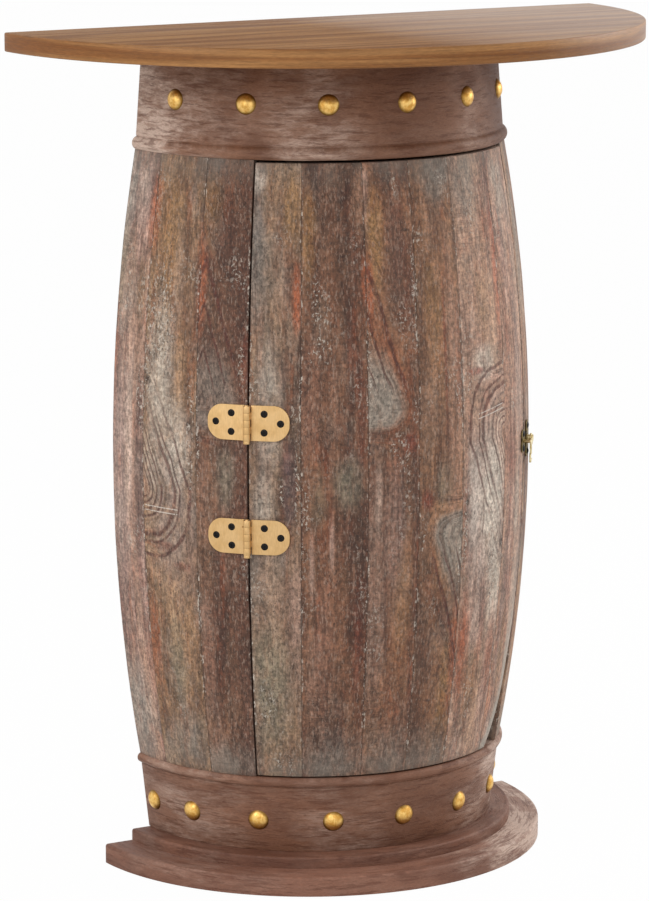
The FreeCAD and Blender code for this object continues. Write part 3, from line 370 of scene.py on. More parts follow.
# where a stave starts and ends, the body it rides on, its tone, how greyed it is, and its marks
Stave = namedtuple("Stave", "near far body tone greying marks")
STAVES = {
    "left_stave_1": Stave(-90, -76.4, "carcass", "95796c", 0.35, (
        Stain(-90, 0.78, 0.032, 0.05, 0.09, GREY, 0.85),
        Stain(-82, 0.775, 0.018, 0.03, 0.05, "a8968a", 0.5),
        Stain(-89, 0.68, 0.014, 0.06, 0.06, GREY_GREEN, 0.6),
        Stain(-80, 0.63, 0.014, 0.11, 0.12, "6b5346", 0.6),
        Stain(-86, 0.68, 0.022, 0.06, 0.05, "86705f", 0.55),
        Chips(-77.5, 0.55, 0.010, 0.05, 0.05),
        Stain(-87, 0.45, 0.020, 0.18, 0.16, "b0998e", 0.6),
        Stain(-82.5, 0.51, 0.012, 0.12, 0.16, "b8a294", 0.65),
        Stain(-79, 0.67, 0.012, 0.04, 0.06, OCHRE, 0.5),
        Stain(-76.6, 0.745, 0.009, 0.06, 0.05, RUST, 0.75),
        Stain(-78, 0.49, 0.010, 0.11, 0.13, MAUVE, 0.8),
        Stain(-77.5, 0.24, 0.012, 0.07, 0.07, ROSE_BROWN, 0.6),
        Stain(-86, 0.18, 0.040, 0.07, 0.07, GREY, 0.75))),
    "left_stave_2": Stave(-76.4, -59.2, "carcass", "80654f", 0.30, (
        Stain(-75.6, 0.745, 0.010, 0.06, 0.05, RUST, 0.75),
        Stain(-69, 0.74, 0.024, 0.06, 0.10, OCHRE, 0.6),
        Stain(-58.6, 0.675, 0.008, 0.08, 0.06, RUST, 0.85),
        Stain(-61, 0.66, 0.015, 0.10, 0.08, "583e32", 0.65),
        Stain(-66, 0.68, 0.010, 0.08, 0.07, "a08470", 0.5),
        Stain(-67, 0.42, 0.044, 0.12, 0.11, "8a7d77", 0.6),
        Stain(-71, 0.56, 0.026, 0.11, 0.07, LIGHT_GREY, 0.7),
        Stain(-65, 0.50, 0.020, 0.06, 0.07, LIGHT_GREY, 0.65),
        Stain(-73, 0.485, 0.026, 0.05, 0.07, "b0a79b", 0.45),
        Stain(-61, 0.36, 0.013, 0.07, 0.06, "6b5045", 0.6),
        eye(-76.6, 0.448, 1, 1),
        Stain(-69, 0.383, 0.018, 0.006, 0.008, RED_BROWN, 0.6),
        Stain(-64, 0.362, 0.014, 0.006, 0.007, RED_BROWN, 0.6),
        Scratch(-70.3, 0.4225, 0.052, 0.00),
        Chips(-71, 0.63, 0.022, 0.09, 0.07),
        Chips(-75, 0.60, 0.010, 0.07, 0.09),
        Chips(-61.0, 0.50, 0.007, 0.09, 0.07),
        Stain(-75, 0.568, 0.005, 0.006, 0.006, DARK_BROWN, 0.9),
        Stain(-61.5, 0.522, 0.006, 0.010, 0.010, DARK_BROWN, 0.8),
        Stain(-75, 0.27, 0.012, 0.07, 0.07, RUST, 0.6),
        Stain(-67, 0.25, 0.018, 0.08, 0.06, GREY_GREEN, 0.45),
        Stain(-66, 0.15, 0.040, 0.05, 0.02, DULL_GREY, 0.6))),
    "left_stave_3": Stave(-59.2, -FRAME_EDGE, "carcass", "644a3c", 0.15, (
        Stain(-46, 0.45, 0.024, 0.60, 0.50, "4f3227", 0.75),
        Stain(-57, 0.77, 0.020, 0.04, 0.07, OCHRE, 0.5),
        Stain(-58.6, 0.675, 0.009, 0.08, 0.06, RUST, 0.85),
        Stain(-50, 0.68, 0.046, 0.17, 0.12, "452a20", 0.74),
        flame(-57.5, 0.548, 1, 1, "71645a"),
        Stain(-46, 0.59, 0.006, 0.05, 0.04, RED_BROWN, 0.55),
        Chips(-47, 0.585, 0.005, 0.04, 0.03),
        Chips(-58.8, 0.49, 0.004, 0.05, 0.06),
        Stain(-57, 0.47, 0.008, 0.04, 0.08, ROSE_BROWN, 0.5),
        Stain(-51, 0.475, 0.014, 0.03, 0.05, GREY_GREEN, 0.4),
        Stain(-57, 0.26, 0.011, 0.10, 0.08, ROSE_BROWN, 0.75),
        Stain(-52, 0.14, 0.040, 0.03, 0.02, DULL_GREY, 0.45))),
    "door_stave_1": Stave(-DOOR_EDGE, -31.7, "door", "77604f", 0.30, (
        Stain(-44, 0.795, 0.014, 0.02, 0.02, WHITISH, 0.6),
        Stain(-43, 0.72, 0.014, 0.08, 0.12, "736b64", 0.8),
        Stain(-41.0, 0.68, 0.016, 0.07, 0.07, "5f5349", 0.6),
        Stain(-39.5, 0.345, 0.022, 0.05, 0.05, "a08672", 0.5),
        Stain(-38, 0.715, 0.009, 0.06, 0.07, "64493a", 0.6),
        Stain(-34.2, 0.765, 0.014, 0.05, 0.07, OCHRE, 0.7),
        Stain(-34, 0.69, 0.013, 0.06, 0.07, "5c4134", 0.7),
        Stain(-32.8, 0.665, 0.0065, 0.050, 0.045, RUST, 0.95),
        Stain(-40, 0.55, 0.020, 0.10, 0.10, GREY, 0.7),
        Stain(-41, 0.44, 0.016, 0.04, 0.06, LIGHT_GREY, 0.5),
        Stain(-34.6, 0.46, 0.010, 0.06, 0.06, "5b4a4b", 0.75),
        Chips(-32.4, 0.47, 0.005, 0.06, 0.07),
        Chips(-36.5, 0.455, 0.004, 0.015, 0.02),
        Stain(-33, 0.34, 0.012, 0.05, 0.14, "957869", 0.7),
        Stain(-40, 0.24, 0.030, 0.07, 0.12, GREY_GREEN, 0.55),
        Chips(-37, 0.142, 0.018, 0.014, 0.01),
        Chips(-41, 0.21, 0.012, 0.03, 0.03))),
    "door_stave_2": Stave(-31.7, -14.7, "door", "644738", 0.12, (
        Stain(-29.8, 0.745, 0.014, 0.05, 0.08, OCHRE, 0.7),
        Stain(-25.5, 0.75, 0.013, 0.06, 0.08, "5a4032", 0.6),
        Stain(-16.2, 0.775, 0.010, 0.04, 0.05, "94705a", 0.65),
        Stain(-15.2, 0.685, 0.005, 0.035, 0.03, RUST, 0.8),
        Stain(-21, 0.69, 0.014, 0.08, 0.10, DARK_BROWN, 0.45),
        Stain(-20.4, 0.731, 0.010, 0.0022, 0.0022, "3c2a22", 0.95),
        Stain(-20.7, 0.712, 0.009, 0.0022, 0.0022, "3c2a22", 0.95),
        Stain(-26.5, 0.64, 0.012, 0.05, 0.06, "7b6656", 0.45),
        Chips(-27.5, 0.67, 0.008, 0.03, 0.05),
        Stain(-29, 0.55, 0.012, 0.10, 0.06, ROSE_BROWN, 0.4),
        Stain(-16.5, 0.56, 0.008, 0.07, 0.14, "5f352a", 0.55),
        Stain(-20, 0.465, 0.024, 0.035, 0.04, GREY_GREEN, 0.5),
        Stain(-27, 0.44, 0.012, 0.05, 0.04, "6f6350", 0.5),
        Stain(-17, 0.41, 0.010, 0.05, 0.06, "453a30", 0.3),
        Stain(-29, 0.23, 0.010, 0.07, 0.06, "8f6f5e", 0.55),
        Stain(-24, 0.395, 0.004, 0.04, 0.04, PINKISH, 0.6),
        Stain(-29, 0.37, 0.004, 0.05, 0.05, PINKISH, 0.5),
        Stain(-26, 0.28, 0.016, 0.10, 0.12, ROSE_BROWN, 0.55),
        Stain(-17, 0.28, 0.008, 0.08, 0.08, RED_BROWN, 0.5),
        SawMarks(-27, 0.20, 0.020, 0.05, 0.06),
        Stain(-23, 0.14, 0.050, 0.05, 0.02, DULL_GREY, 0.5))),
    "door_stave_3": Stave(-14.7, -0.9, "door", "735341", 0.12, (
        Stain(-12.5, 0.30, 0.016, 0.26, 0.16, "8d7060", 0.6),
        Stain(-14.2, 0.79, 0.006, 0.02, 0.06, PINKISH, 0.6),
        Stain(-12, 0.745, 0.014, 0.05, 0.09, OCHRE, 0.8),
        Stain(-14.0, 0.675, 0.0070, 0.045, 0.05, RUST, 0.95),
        Stain(-5, 0.67, 0.024, 0.08, 0.06, "4a3228", 0.75),
        Stain(-6, 0.72, 0.016, 0.08, 0.09, "61453a", 0.6),
        Stain(-3, 0.66, 0.010, 0.10, 0.06, "61382c", 0.4),
        Stain(-3.0, 0.737, 0.007, 0.0022, 0.0022, "3c2a22", 0.9),
        flame(-15.6, 0.548, 1, 1),
        Stain(-13.4, 0.571, 0.004, 0.005, 0.007, RED_BROWN, 0.8),
        Stain(-3.5, 0.505, 0.012, 0.014, 0.018, RED_BROWN, 0.85),
        Chips(-1.9, 0.530, 0.004, 0.03, 0.012),
        Chips(-1.6, 0.66, 0.003, 0.09, 0.08),
        Chips(-14.3, 0.60, 0.0035, 0.07, 0.08),
        Chips(-7, 0.50, 0.012, 0.02, 0.012),
        Stain(-12, 0.44, 0.005, 0.05, 0.05, "b39a8a", 0.5),
        Stain(-7.5, 0.41, 0.015, 0.10, 0.12, "92766a", 0.55),
        Stain(-3, 0.44, 0.010, 0.06, 0.08, "553c30", 0.5),
        Stain(-5, 0.33, 0.014, 0.07, 0.09, "80603f", 0.4),
        SawMarks(-12, 0.20, 0.018, 0.05, 0.06),
        Stain(-8, 0.14, 0.050, 0.05, 0.02, DULL_GREY, 0.45))),
    "door_stave_4": Stave(-0.9, 13, "door", "765743", 0.12, (
        Stain(0, 0.50, 0.018, 0.40, 0.42, "573e31", 0.55),
        Stain(4, 0.22, 0.022, 0.07, 0.12, "5a3c2e", 0.55),
        Stain(8, 0.80, 0.030, 0.02, 0.05, DULL_GREY, 0.7),
        Stain(4, 0.65, 0.014, 0.08, 0.08, OCHRE, 0.45),
        Stain(10.2, 0.54, 0.013, 0.22, 0.22, "a07c69", 0.6),
        Stain(7.5, 0.60, 0.003, 0.12, 0.10, "7b3d2b", 0.5),
        Stain(6.5, 0.455, 0.018, 0.03, 0.03, GREY_GREEN, 0.35),
        flame(13.9, 0.395, -1, -1),
        Stain(11.8, 0.372, 0.004, 0.007, 0.005, RED_BROWN, 0.8),
        Stain(1.5, 0.436, 0.011, 0.018, 0.014, RED_BROWN, 0.9),
        Chips(0.4, 0.412, 0.004, 0.012, 0.05),
        Chips(12.3, 0.36, 0.003, 0.03, 0.05),
        Stain(12.0, 0.255, 0.010, 0.07, 0.06, RUST, 0.75),
        Stain(9.5, 0.22, 0.010, 0.07, 0.08, OCHRE, 0.6),
        Stain(4.5, 0.205, 0.006, 0.002, 0.002, "3c2a22", 0.9),
        Stain(6, 0.14, 0.050, 0.04, 0.02, DULL_GREY, 0.35))),
    "door_stave_5": Stave(13, LAST_DOOR_SEAM, "door", "957a6b", 0.25, (
        Stain(14.5, 0.78, 0.012, 0.03, 0.06, "755c4c", 0.5),
        Stain(15.2, 0.62, 0.013, 0.09, 0.08, "775a4c", 0.7),
        Stain(20, 0.36, 0.022, 0.16, 0.16, "b5a094", 0.55),
        Stain(19, 0.79, 0.030, 0.03, 0.06, DULL_GREY, 0.7),
        SawMarks(15.5, 0.735, 0.012, 0.06, 0.06),
        Stain(29.5, 0.68, 0.009, 0.09, 0.10, "9c5a43", 0.7),
        Stain(24, 0.72, 0.006, 0.08, 0.08, "85604a", 0.5),
        Stain(21, 0.64, 0.018, 0.06, 0.05, OCHRE, 0.35),
        Stain(22, 0.585, 0.026, 0.02, 0.03, LIGHT_GREY, 0.7),
        Stain(25, 0.43, 0.034, 0.10, 0.10, "c6bbad", 0.85),
        Stain(17.0, 0.44, 0.015, 0.09, 0.10, "b8aca1", 0.7),
        Stain(28, 0.325, 0.022, 0.06, 0.08, LIGHT_GREY, 0.8),
        eye(31.0, 0.495, -1, -1),
        Stain(18.5, 0.574, 0.020, 0.005, 0.006, "7c4136", 0.7),
        Scratch(24.2, 0.5255, 0.052, 0.12),
        Chips(14.2, 0.40, 0.005, 0.09, 0.08),
        Stain(14.6, 0.43, 0.005, 0.009, 0.009, "2c2019", 0.9),
        Stain(30.0, 0.372, 0.006, 0.009, 0.009, "2c2019", 0.9),
        Chips(26, 0.34, 0.016, 0.06, 0.05),
        Stain(15.5, 0.25, 0.013, 0.09, 0.07, RUST, 0.75),
        Stain(28, 0.25, 0.012, 0.06, 0.06, RUST, 0.5),
        Stain(20, 0.22, 0.022, 0.05, 0.08, OCHRE, 0.5))),
    "door_stave_6": Stave(LAST_DOOR_SEAM, DOOR_EDGE, "door", "997b6c", 0.25, (
        Stain(37, 0.78, 0.026, 0.03, 0.08, GREY, 0.75),
        Stain(32.5, 0.57, 0.007, 0.20, 0.12, "93705e", 0.6),
        Stain(40, 0.52, 0.018, 0.16, 0.10, PINKISH, 0.5),
        Stain(34, 0.47, 0.016, 0.04, 0.04, "7a4f42", 0.5),
        Stain(39, 0.41, 0.012, 0.05, 0.05, LIGHT_GREY, 0.5),
        Stain(36, 0.24, 0.012, 0.07, 0.07, OCHRE, 0.4),
        Stain(37, 0.14, 0.026, 0.06, 0.02, DULL_GREY, 0.6))),
    "right_stave_1": Stave(FRAME_EDGE, 59.2, "carcass", "8b7262", 0.35, (
        Stain(50, 0.70, 0.020, 0.10, 0.12, GREY, 0.6),
        eye(59.6, 0.40, -1, -1),
        Stain(48, 0.28, 0.010, 0.10, 0.08, OCHRE, 0.5),
        Stain(53, 0.14, 0.040, 0.05, 0.02, DULL_GREY, 0.5))),
    "right_stave_2": Stave(59.2, 76.4, "carcass", "755846", 0.20, (
        Stain(61, 0.69, 0.006, 0.06, 0.06, RUST, 0.9),
        Stain(70, 0.70, 0.018, 0.08, 0.10, OCHRE, 0.5),
        flame(58.4, 0.55, 1, 1),
        Stain(72, 0.35, 0.016, 0.10, 0.10, MAUVE, 0.4),
        Chips(68, 0.42, 0.014, 0.08, 0.08),
        Stain(68, 0.15, 0.050, 0.05, 0.02, DULL_GREY, 0.5))),
    "right_stave_3": Stave(76.4, 90, "carcass", "6c5040", 0.20, (
        Stain(86, 0.66, 0.018, 0.12, 0.12, GREY, 0.6),
        Stain(79, 0.60, 0.006, 0.08, 0.08, RUST, 0.8),
        Stain(82, 0.32, 0.022, 0.12, 0.10, GREY_GREEN, 0.5),
        Stain(84, 0.14, 0.040, 0.05, 0.02, DULL_GREY, 0.5))),
}


def has_worn_corner(stave):
    """Whether the stave is the one at the door's free edge."""
    return stave.far == DOOR_EDGE


class StaveWood(Finish):
    """Old sawn planks: ochre to mauve brown with rust-red streaks, weathered grey in patches, with
    grain that runs round the knots, saw marks across it, pale flecks, and worn edges."""

    def __init__(self, name, stave, seed):
        super().__init__(name + "_wood")
        self.stave = stave
        self.tone = colour(stave.tone)
        self.shift = (7.3 * seed, 3.1 * seed, 5.7 * seed)
        self.other_shift = (self.shift[2], self.shift[0], self.shift[1])
        self.third_shift = (self.shift[1], self.shift[2], self.shift[0])
        patch_shift = (self.shift[0], self.shift[2], self.shift[1])
        self.across, self.radius, self.level = self.around_axis()
        self.straight = self.join(self.across, self.radius, self.level)
        self.ragged = self.grain(self.straight, (120, 120, 60), self.shift, 4.0, 0.7)
        self.patches = self.grain(self.straight, (24, 24, 12), patch_shift, 3.0)
        self.mottle = self.grain(self.straight, (270, 270, 190), self.shift, 4.0, 0.7)
        self.speck = self.grain(self.straight, (420, 420, 300), self.shift, 3.0, 0.65)
        wander = self.grain(self.straight, (30, 30, 10), self.shift, 3.0)
        self.wobble = self.scaled(wander, 0.44, -0.22)
        self.knots = [(knot, self.distance_to(knot)) for knot in self.marked(Knot)]
        self.along = self.round_the_knots(self.scaled(wander, 0.012, self.across))

    def marked(self, kind):
        """The stave's marks of one kind."""
        return [mark for mark in self.stave.marks if isinstance(mark, kind)]

    def distance_to(self, mark):
        """0 at a mark's centre, 1 where it has faded out."""
        aside = self.reckon("DIVIDE", self.less(self.across, girth(mark.angle)), mark.width)
        height = self.less(self.level, mark.level)
        above = self.reckon("DIVIDE", self.most(height, 0.0), mark.rise)
        below = self.reckon("DIVIDE", self.least(height, 0.0), mark.fall)
        if not isinstance(mark, Knot):
            return self.plus(self.length(aside, above, below), self.wobble)
        pointed, blunt = (above, below) if mark.point > 0 else (below, above)
        tapered = self.scaled(self.away(pointed), 0.8, self.away(aside))
        cubes = [self.reckon("POWER", self.away(part), 3.0) for part in (tapered, blunt)]
        return self.plus(self.reckon("POWER", self.plus(*cubes), 1 / 3), self.times(self.wobble, 0.7))

    def round_the_knots(self, flow):
        """The places along the grain, which runs straight but for the knots."""
        for knot, distance in self.knots:
            rounded = self.scaled(distance, knot.width * knot.side, girth(knot.angle))
            flow = self.blend(self.fade(distance, 1.5, 1.0), flow, rounded)
        return self.join(flow, self.radius, self.level)

    def timber(self):
        """Broad dark and light grain, then streaks and clouds over it."""
        tone = self.tone
        broad = self.grain(self.along, (36, 36, 2.6), self.shift, 4.0, 0.6)
        pale = self.grain(self.along, (95, 95, 4.5), self.other_shift, 3.0, 0.6)
        red = self.grain(self.along, (60, 60, 3.6), self.other_shift, 3.0, 0.6)
        cloud = self.grain(self.straight, (22, 22, 11), self.other_shift, 5.0, 0.65)
        rusty = self.grain(self.straight, (66, 66, 30), self.third_shift, 4.0, 0.65)
        self.base = tinted(tone, 0.54, 0.47, 0.48)
        for value, start, end, share, laid in (
                (broad, 0.38, 0.62, 1.0, tinted(tone, 1.34, 1.28, 1.16)),
                (pale, 0.50, 0.68, 0.60, tinted(tone, 1.75, 1.80, 1.85)),
                (red, 0.54, 0.70, 0.55, tinted(tone, 1.25, 0.66, 0.43)),
                (cloud, 0.52, 0.66, self.stave.greying, colour(GREY)),
                (cloud, 0.46, 0.34, 0.22, tinted(tone, 0.50, 0.46, 0.48)),
                (rusty, 0.52, 0.66, 0.32, tinted(tone, 1.15, 0.76, 0.64)),
                (rusty, 0.47, 0.35, 0.32, tinted(tone, 0.78, 0.86, 0.80))):
            self.lay(self.fade(value, start, end, 0.0, share), laid)

    def stain(self):
        broken = self.fade(self.ragged, 0.34, 0.54, 0.5, 1.0)
        for mark in self.marked(Stain):
            share = self.fade(self.distance_to(mark), 1.15, 0.25, 0.0, mark.strength)
            self.lay(self.times(share, broken), colour(mark.tone))

    def draw_knots(self):
        """The knots' hearts, and their rings, which are laid on after the fine grain."""
        self.rings = 0.0
        for knot, distance in self.knots:
            is_eye = knot.rings is EYE_RINGS
            core = 0.20 if is_eye else 0.98
            from_blunt = self.times(self.less(self.level, knot.level), knot.point)
            heart = self.times(self.fade(distance, core, core * 0.70), self.fade(from_blunt, 0.078, 0.025),
                               self.fade(self.ragged, 0.34, 0.50, 0.55, 0.8))
            self.lay(heart, colour(knot.heart))
            drawn = [self.fade(self.away(distance, place), thickness, thickness * 0.3)
                     for place, thickness in knot.rings]
            # the lines of a long knot are lost in its weathered end, those of an eye in its point
            clear = (0.100, 0.030, 0.45, 1.0) if is_eye else (0.004, 0.030)
            drawn = self.times(self.most(*drawn), self.fade(from_blunt, *clear))
            self.rings = self.most(self.rings, drawn)

    def draw_grain(self):
        """Fine grain, dark lines in it, and the knots' rings."""
        self.fine = self.grain(self.along, (420, 420, 14), self.shift, 3.0, 0.65)
        self.shade(self.fine, 0.34, 0.66, 0.84, 1.16)
        self.lines = self.fade(self.grain(self.along, (130, 130, 2.4), self.shift, 3.0, 0.6), 0.56, 0.66)
        self.lay(self.times(self.lines, 0.46), tinted(self.tone, 0.42, 0.33, 0.32))
        self.rings = self.times(self.rings, self.fade(self.ragged, 0.36, 0.50, 0.35, 1.0))
        self.lay(self.times(self.rings, 0.74), colour("4c2822"))

    def saw(self):
        """Saw marks across the grain, and mottling by age."""
        sawn = [self.fade(self.distance_to(mark), 1.1, 0.5, 0.0, 1.5) for mark in self.marked(SawMarks)]
        sawn.append(self.fade(self.patches, 0.42, 0.60, 0.25, 0.90))
        hatch = self.grain(self.straight, (60, 60, 400), self.shift, 2.0, 0.6, 0.5)
        self.saw_marks = self.times(self.fade(hatch, 0.42, 0.62), self.most(*sawn))
        self.base = self.shaded(self.base, self.scaled(self.saw_marks, -0.22, 1.08))
        self.shade(self.mottle, 0.36, 0.64, 0.66, 1.38)
        blotch = self.grain(self.straight, (90, 90, 55), self.other_shift, 4.0, 0.65)
        self.shade(blotch, 0.36, 0.64, 0.86, 1.13)

    def chip(self):
        """Short curved strokes of old paint, pale fibres, and dark pits beside them."""
        near_chips = self.most(0.0, *(self.fade(self.distance_to(mark), 1.15, 0.4)
                                      for mark in self.marked(Chips)))
        bumps = self.grain(self.straight, (150, 150, 95), self.other_shift, 2.0, 0.6, 0.6)
        broken = self.grain(self.straight, (330, 330, 240), self.third_shift, 2.0, 0.6)
        self.flecks = self.times(self.fade(self.away(bumps, 0.5), 0.070, 0.025),
                                 self.fade(broken, 0.50, 0.58),
                                 self.most(self.fade(self.patches, 0.56, 0.70, 0.0, 0.8), near_chips))
        self.lay(self.times(self.flecks, 0.74), colour(WHITISH))
        fibre = self.grain(self.straight, (450, 450, 130), self.third_shift, 3.0, 0.65)
        self.lay(self.fade(fibre, 0.53, 0.65, 0.0, 0.32), colour("b39c8c"))
        self.pits = self.times(self.fade(self.speck, 0.42, 0.34),
                               self.most(self.fade(self.patches, 0.62, 0.46, 0.0, 0.7), near_chips))
        self.lay(self.times(self.pits, 0.72), colour("2a1d17"))

    def scratch(self):
        """Pairs of pale scratches, side by side."""
        spacing = 0.0026
        for mark in self.marked(Scratch):
            aside = self.less(self.across, girth(mark.angle))
            height = self.less(self.level, mark.level, self.times(aside, mark.slope))
            gap = self.reckon("PINGPONG", self.plus(height, spacing), spacing)
            pair = self.times(self.fade(gap, 0.0009, 0.0002), self.fade(self.away(height), 0.0038, 0.0030),
                              self.fade(self.away(aside), mark.length / 2, mark.length / 2.3))
            self.lay(self.times(pair, self.fade(self.speck, 0.36, 0.46), 0.8), colour("cfc5ba"))

    def door_edge(self):
        """Where the door's free edge runs, measured around the barrel at its belly."""
        rise = self.least(self.less(self.level, DOOR_BASE + RELIEF_CENTRE.y), 0.0)
        reach = self.reckon("SQRT", self.less(RELIEF_RADIUS ** 2, self.times(rise, rise)))
        reach = self.plus(reach, RELIEF_EDGE + RELIEF_CENTRE.x)
        turn = self.reckon("ARCSINE", self.reckon("DIVIDE", reach, self.radius))
        return self.least(self.scaled(turn, BELLY_RADIUS, girth(LAST_DOOR_SEAM)), girth(DOOR_EDGE))

    def wear_edges(self):
        """The pale grey rim at the door's worn corner, dirt and chips along the seams, and greyed ends."""
        from_near = self.less(self.across, girth(self.stave.near))
        if has_worn_corner(self.stave):
            from_far = self.less(self.door_edge(), self.across)
            rim = self.times(self.fade(from_far, 0.030, 0.018),
                             self.fade(self.level, 0.40, 0.22, 0.15, 0.85),
                             self.fade(self.ragged, 0.30, 0.50, 0.6, 1.0))
            self.lay(rim, self.shaded(colour("a69e93"), self.fade(self.mottle, 0.36, 0.64, 0.85, 1.15)))
        else:
            from_far = self.less(girth(self.stave.far), self.across)
        edge = self.least(from_near, from_far)
        torn = self.scaled(self.grain(self.straight, (30, 30, 60), self.shift, 3.0), 0.004, -0.002)
        dirt = self.times(self.fade(self.plus(edge, torn), 0.0022, 0.0004),
                          self.fade(self.patches, 0.40, 0.58, 0.05, 0.5))
        self.lay(dirt, colour("3a2a24"))
        flaking = self.grain(self.straight, (260, 260, 150), self.shift, 3.0, 0.7)
        chipped = self.times(self.fade(edge, 0.0030, 0.0010), self.fade(self.patches, 0.44, 0.56, 0.2, 1.0),
                             self.fade(flaking, 0.55, 0.62), 0.75)
        self.lay(chipped, colour(WHITISH))
        from_end = self.least(self.less(self.level, DOOR_BASE), self.less(DOOR_TOP, self.level))
        greyed = self.times(self.fade(from_end, 0.035, 0.0), self.fade(self.patches, 0.38, 0.58, 0.3, 1.0))
        self.lay(self.times(greyed, 0.4), colour(DULL_GREY))

    def draw(self):
        self.timber()
        self.stain()
        self.draw_knots()
        self.draw_grain()
        self.saw()
        self.chip()
        self.scratch()
        self.wear_edges()
        self.raise_surface(self.weighed((self.fine, 0.35), (self.mottle, 0.60), (self.lines, -0.35),
                                        (self.saw_marks, -0.25), (self.rings, -0.45), (self.flecks, 0.55),
                                        (self.pits, -0.40)), 0.0011)
        return self.done(Roughness=self.fade(self.mottle, 0.3, 0.7, 0.60, 0.82), Specular_IOR_Level=0.36)


THINNEST_WASH = 0.10


def band_wood(name, tone, seed, wash_and_painted_light, levels=None):
    """Stained hoops and plinth boards, brushed around the barrel with a thin pale wash. The wash is
    stronger around each (angle, width in degrees, share); the strongest spots are painted highlight
    as well as wash. Where the share is negative the wood is darker, as painted shade. The wash has
    run down from the higher to the lower of two levels."""
    wood = Finish(name)
    across, radius, level = wood.around_axis()
    place = wood.join(across, wood.plus(radius, level), radius)
    shift = (4.1 * seed, 2.7 * seed, 6.3 * seed)
    deep = colour(tone)
    cloud = wood.grain(place, (8, 24, 8), shift, 4.0, 0.6, 0.4)
    wood.base = wood.mix(wood.fade(cloud, 0.38, 0.62), tinted(deep, 0.80, 0.72, 0.68),
                         tinted(deep, 1.16, 1.14, 1.12))
    amount = THINNEST_WASH
    for angle, width, share in wash_and_painted_light:
        near = wood.fade(wood.away(across, girth(angle)), girth(width), 0.0, 0.0, abs(share))
        if share > 0:
            amount = wood.most(amount, near)
        else:
            # painted shade: the wood laid darker around a spot with a negative share
            wood.lay(near, tinted(deep, 0.60, 0.50, 0.44))
    if levels:
        amount = wood.times(amount, wood.fade(level, *levels, 1.25, 0.60))
    stroke = wood.grain(place, (40, 240, 40), shift, 5.0, 0.75, 0.6)
    patch = wood.grain(place, (14, 34, 14), (shift[2], shift[1], shift[0]), 4.0, 0.62)
    # the pale wash, which is also painted highlight where its spots are strongest
    wood.lay(wood.times(wood.fade(stroke, 0.36, 0.64, 0.30, 1.0), wood.fade(patch, 0.36, 0.64, 0.20, 1.0),
                        amount), colour("c2a99a"))
    fine = wood.grain(place, (240, 1000, 240), shift, 3.0, 0.65)
    wood.shade(fine, 0.34, 0.66, 0.88, 1.12)
    dark_stroke = wood.grain(place, (26, 230, 26), (shift[1], shift[0], shift[2]), 5.0, 0.7)
    dark_stroke = wood.fade(dark_stroke, 0.52, 0.62)
    wood.lay(wood.times(dark_stroke, 0.55), tinted(deep, 0.55, 0.42, 0.38))
    wood.raise_surface(wood.weighed((stroke, 0.5), (fine, 0.4), (dark_stroke, -0.3)), 0.0006)
    return wood.done(Roughness=wood.fade(stroke, 0.3, 0.7, 0.50, 0.66), Specular_IOR_Level=0.25)


def tabletop_wood():
    """Satin golden-brown timber: its grain runs along the back on top and around the rim."""
    wood = Finish("tabletop_wood")
    across, radius, level = wood.around_axis()
    at_rim = wood.fade(radius, TABLETOP_RADIUS - 0.002, TABLETOP_RADIUS - 0.001)
    place = wood.mix(at_rim, wood.place, wood.join(across, wood.plus(radius, level), level))
    broad = wood.grain(place, (2.4, 42, 42), (1.3, 4.1, 2.2), 4.0, 0.6, 0.2)
    dark = wood.mix(at_rim, colour("7d5536"), colour("774a24"))
    pale = wood.mix(at_rim, colour("9d744c"), colour("986c40"))
    wood.base = wood.mix(wood.fade(broad, 0.38, 0.62), dark, pale)
    line = wood.grain(place, (7, 330, 330), (3.0, 1.0, 6.0), 4.0, 0.65, 0.1)
    wood.shade(line, 0.34, 0.66, 0.88, 1.12)
    short = wood.grain(place, (170, 620, 620), (2.0, 5.0, 4.0), 3.0, 0.7)
    wood.shade(short, 0.34, 0.66, 0.88, 1.12)
    pore = wood.fade(wood.grain(place, (60, 1100, 1100), (5.0, 2.0, 1.0), 2.0, 0.6), 0.58, 0.68)
    wood.lay(wood.times(pore, 0.4), colour("4e3019"))
    # the lacquer has worn thin towards one end
    lacquer = wood.fade(wood.split(wood.place)["X"], -0.06, 0.34, 0.008, 0.80)
    wood.raise_surface(wood.weighed((line, 0.3), (pore, -0.4)), 0.0002)
    return wood.done(Roughness=wood.fade(line, 0.3, 0.7, 0.36, 0.46),
                     Specular_IOR_Level=wood.most(lacquer, wood.times(at_rim, 0.22)))


def inner_wood(name, stretch, tone):
    """Plain stained boards inside the cabinet and at its back."""
    wood = Finish(name)
    fine_stretch = tuple(size * 7 for size in stretch)
    deep = colour(tone)
    broad = wood.grain(wood.place, stretch, (2.0, 5.0, 1.0), 3.0, 0.55, 0.5)
    wood.base = wood.mix(wood.fade(broad, 0.34, 0.66), tinted(deep, 0.74, 0.70, 0.66),
                         tinted(deep, 1.22, 1.20, 1.18))
    line = wood.grain(wood.place, fine_stretch, (6.0, 3.0, 2.0), 3.0, 0.6)
    wood.shade(line, 0.28, 0.72, 0.84, 1.12)
    pore = wood.fade(wood.grain(wood.place, fine_stretch, (1.0, 8.0, 4.0), 2.0, 0.6), 0.62, 0.72)
    wood.lay(wood.times(pore, 0.5), tinted(deep, 0.40, 0.34, 0.30))
    wood.raise_surface(wood.less(line, pore), 0.0003)
    return wood.done(Roughness=wood.fade(line, 0.3, 0.7, 0.58, 0.74), Specular_IOR_Level=0.35)


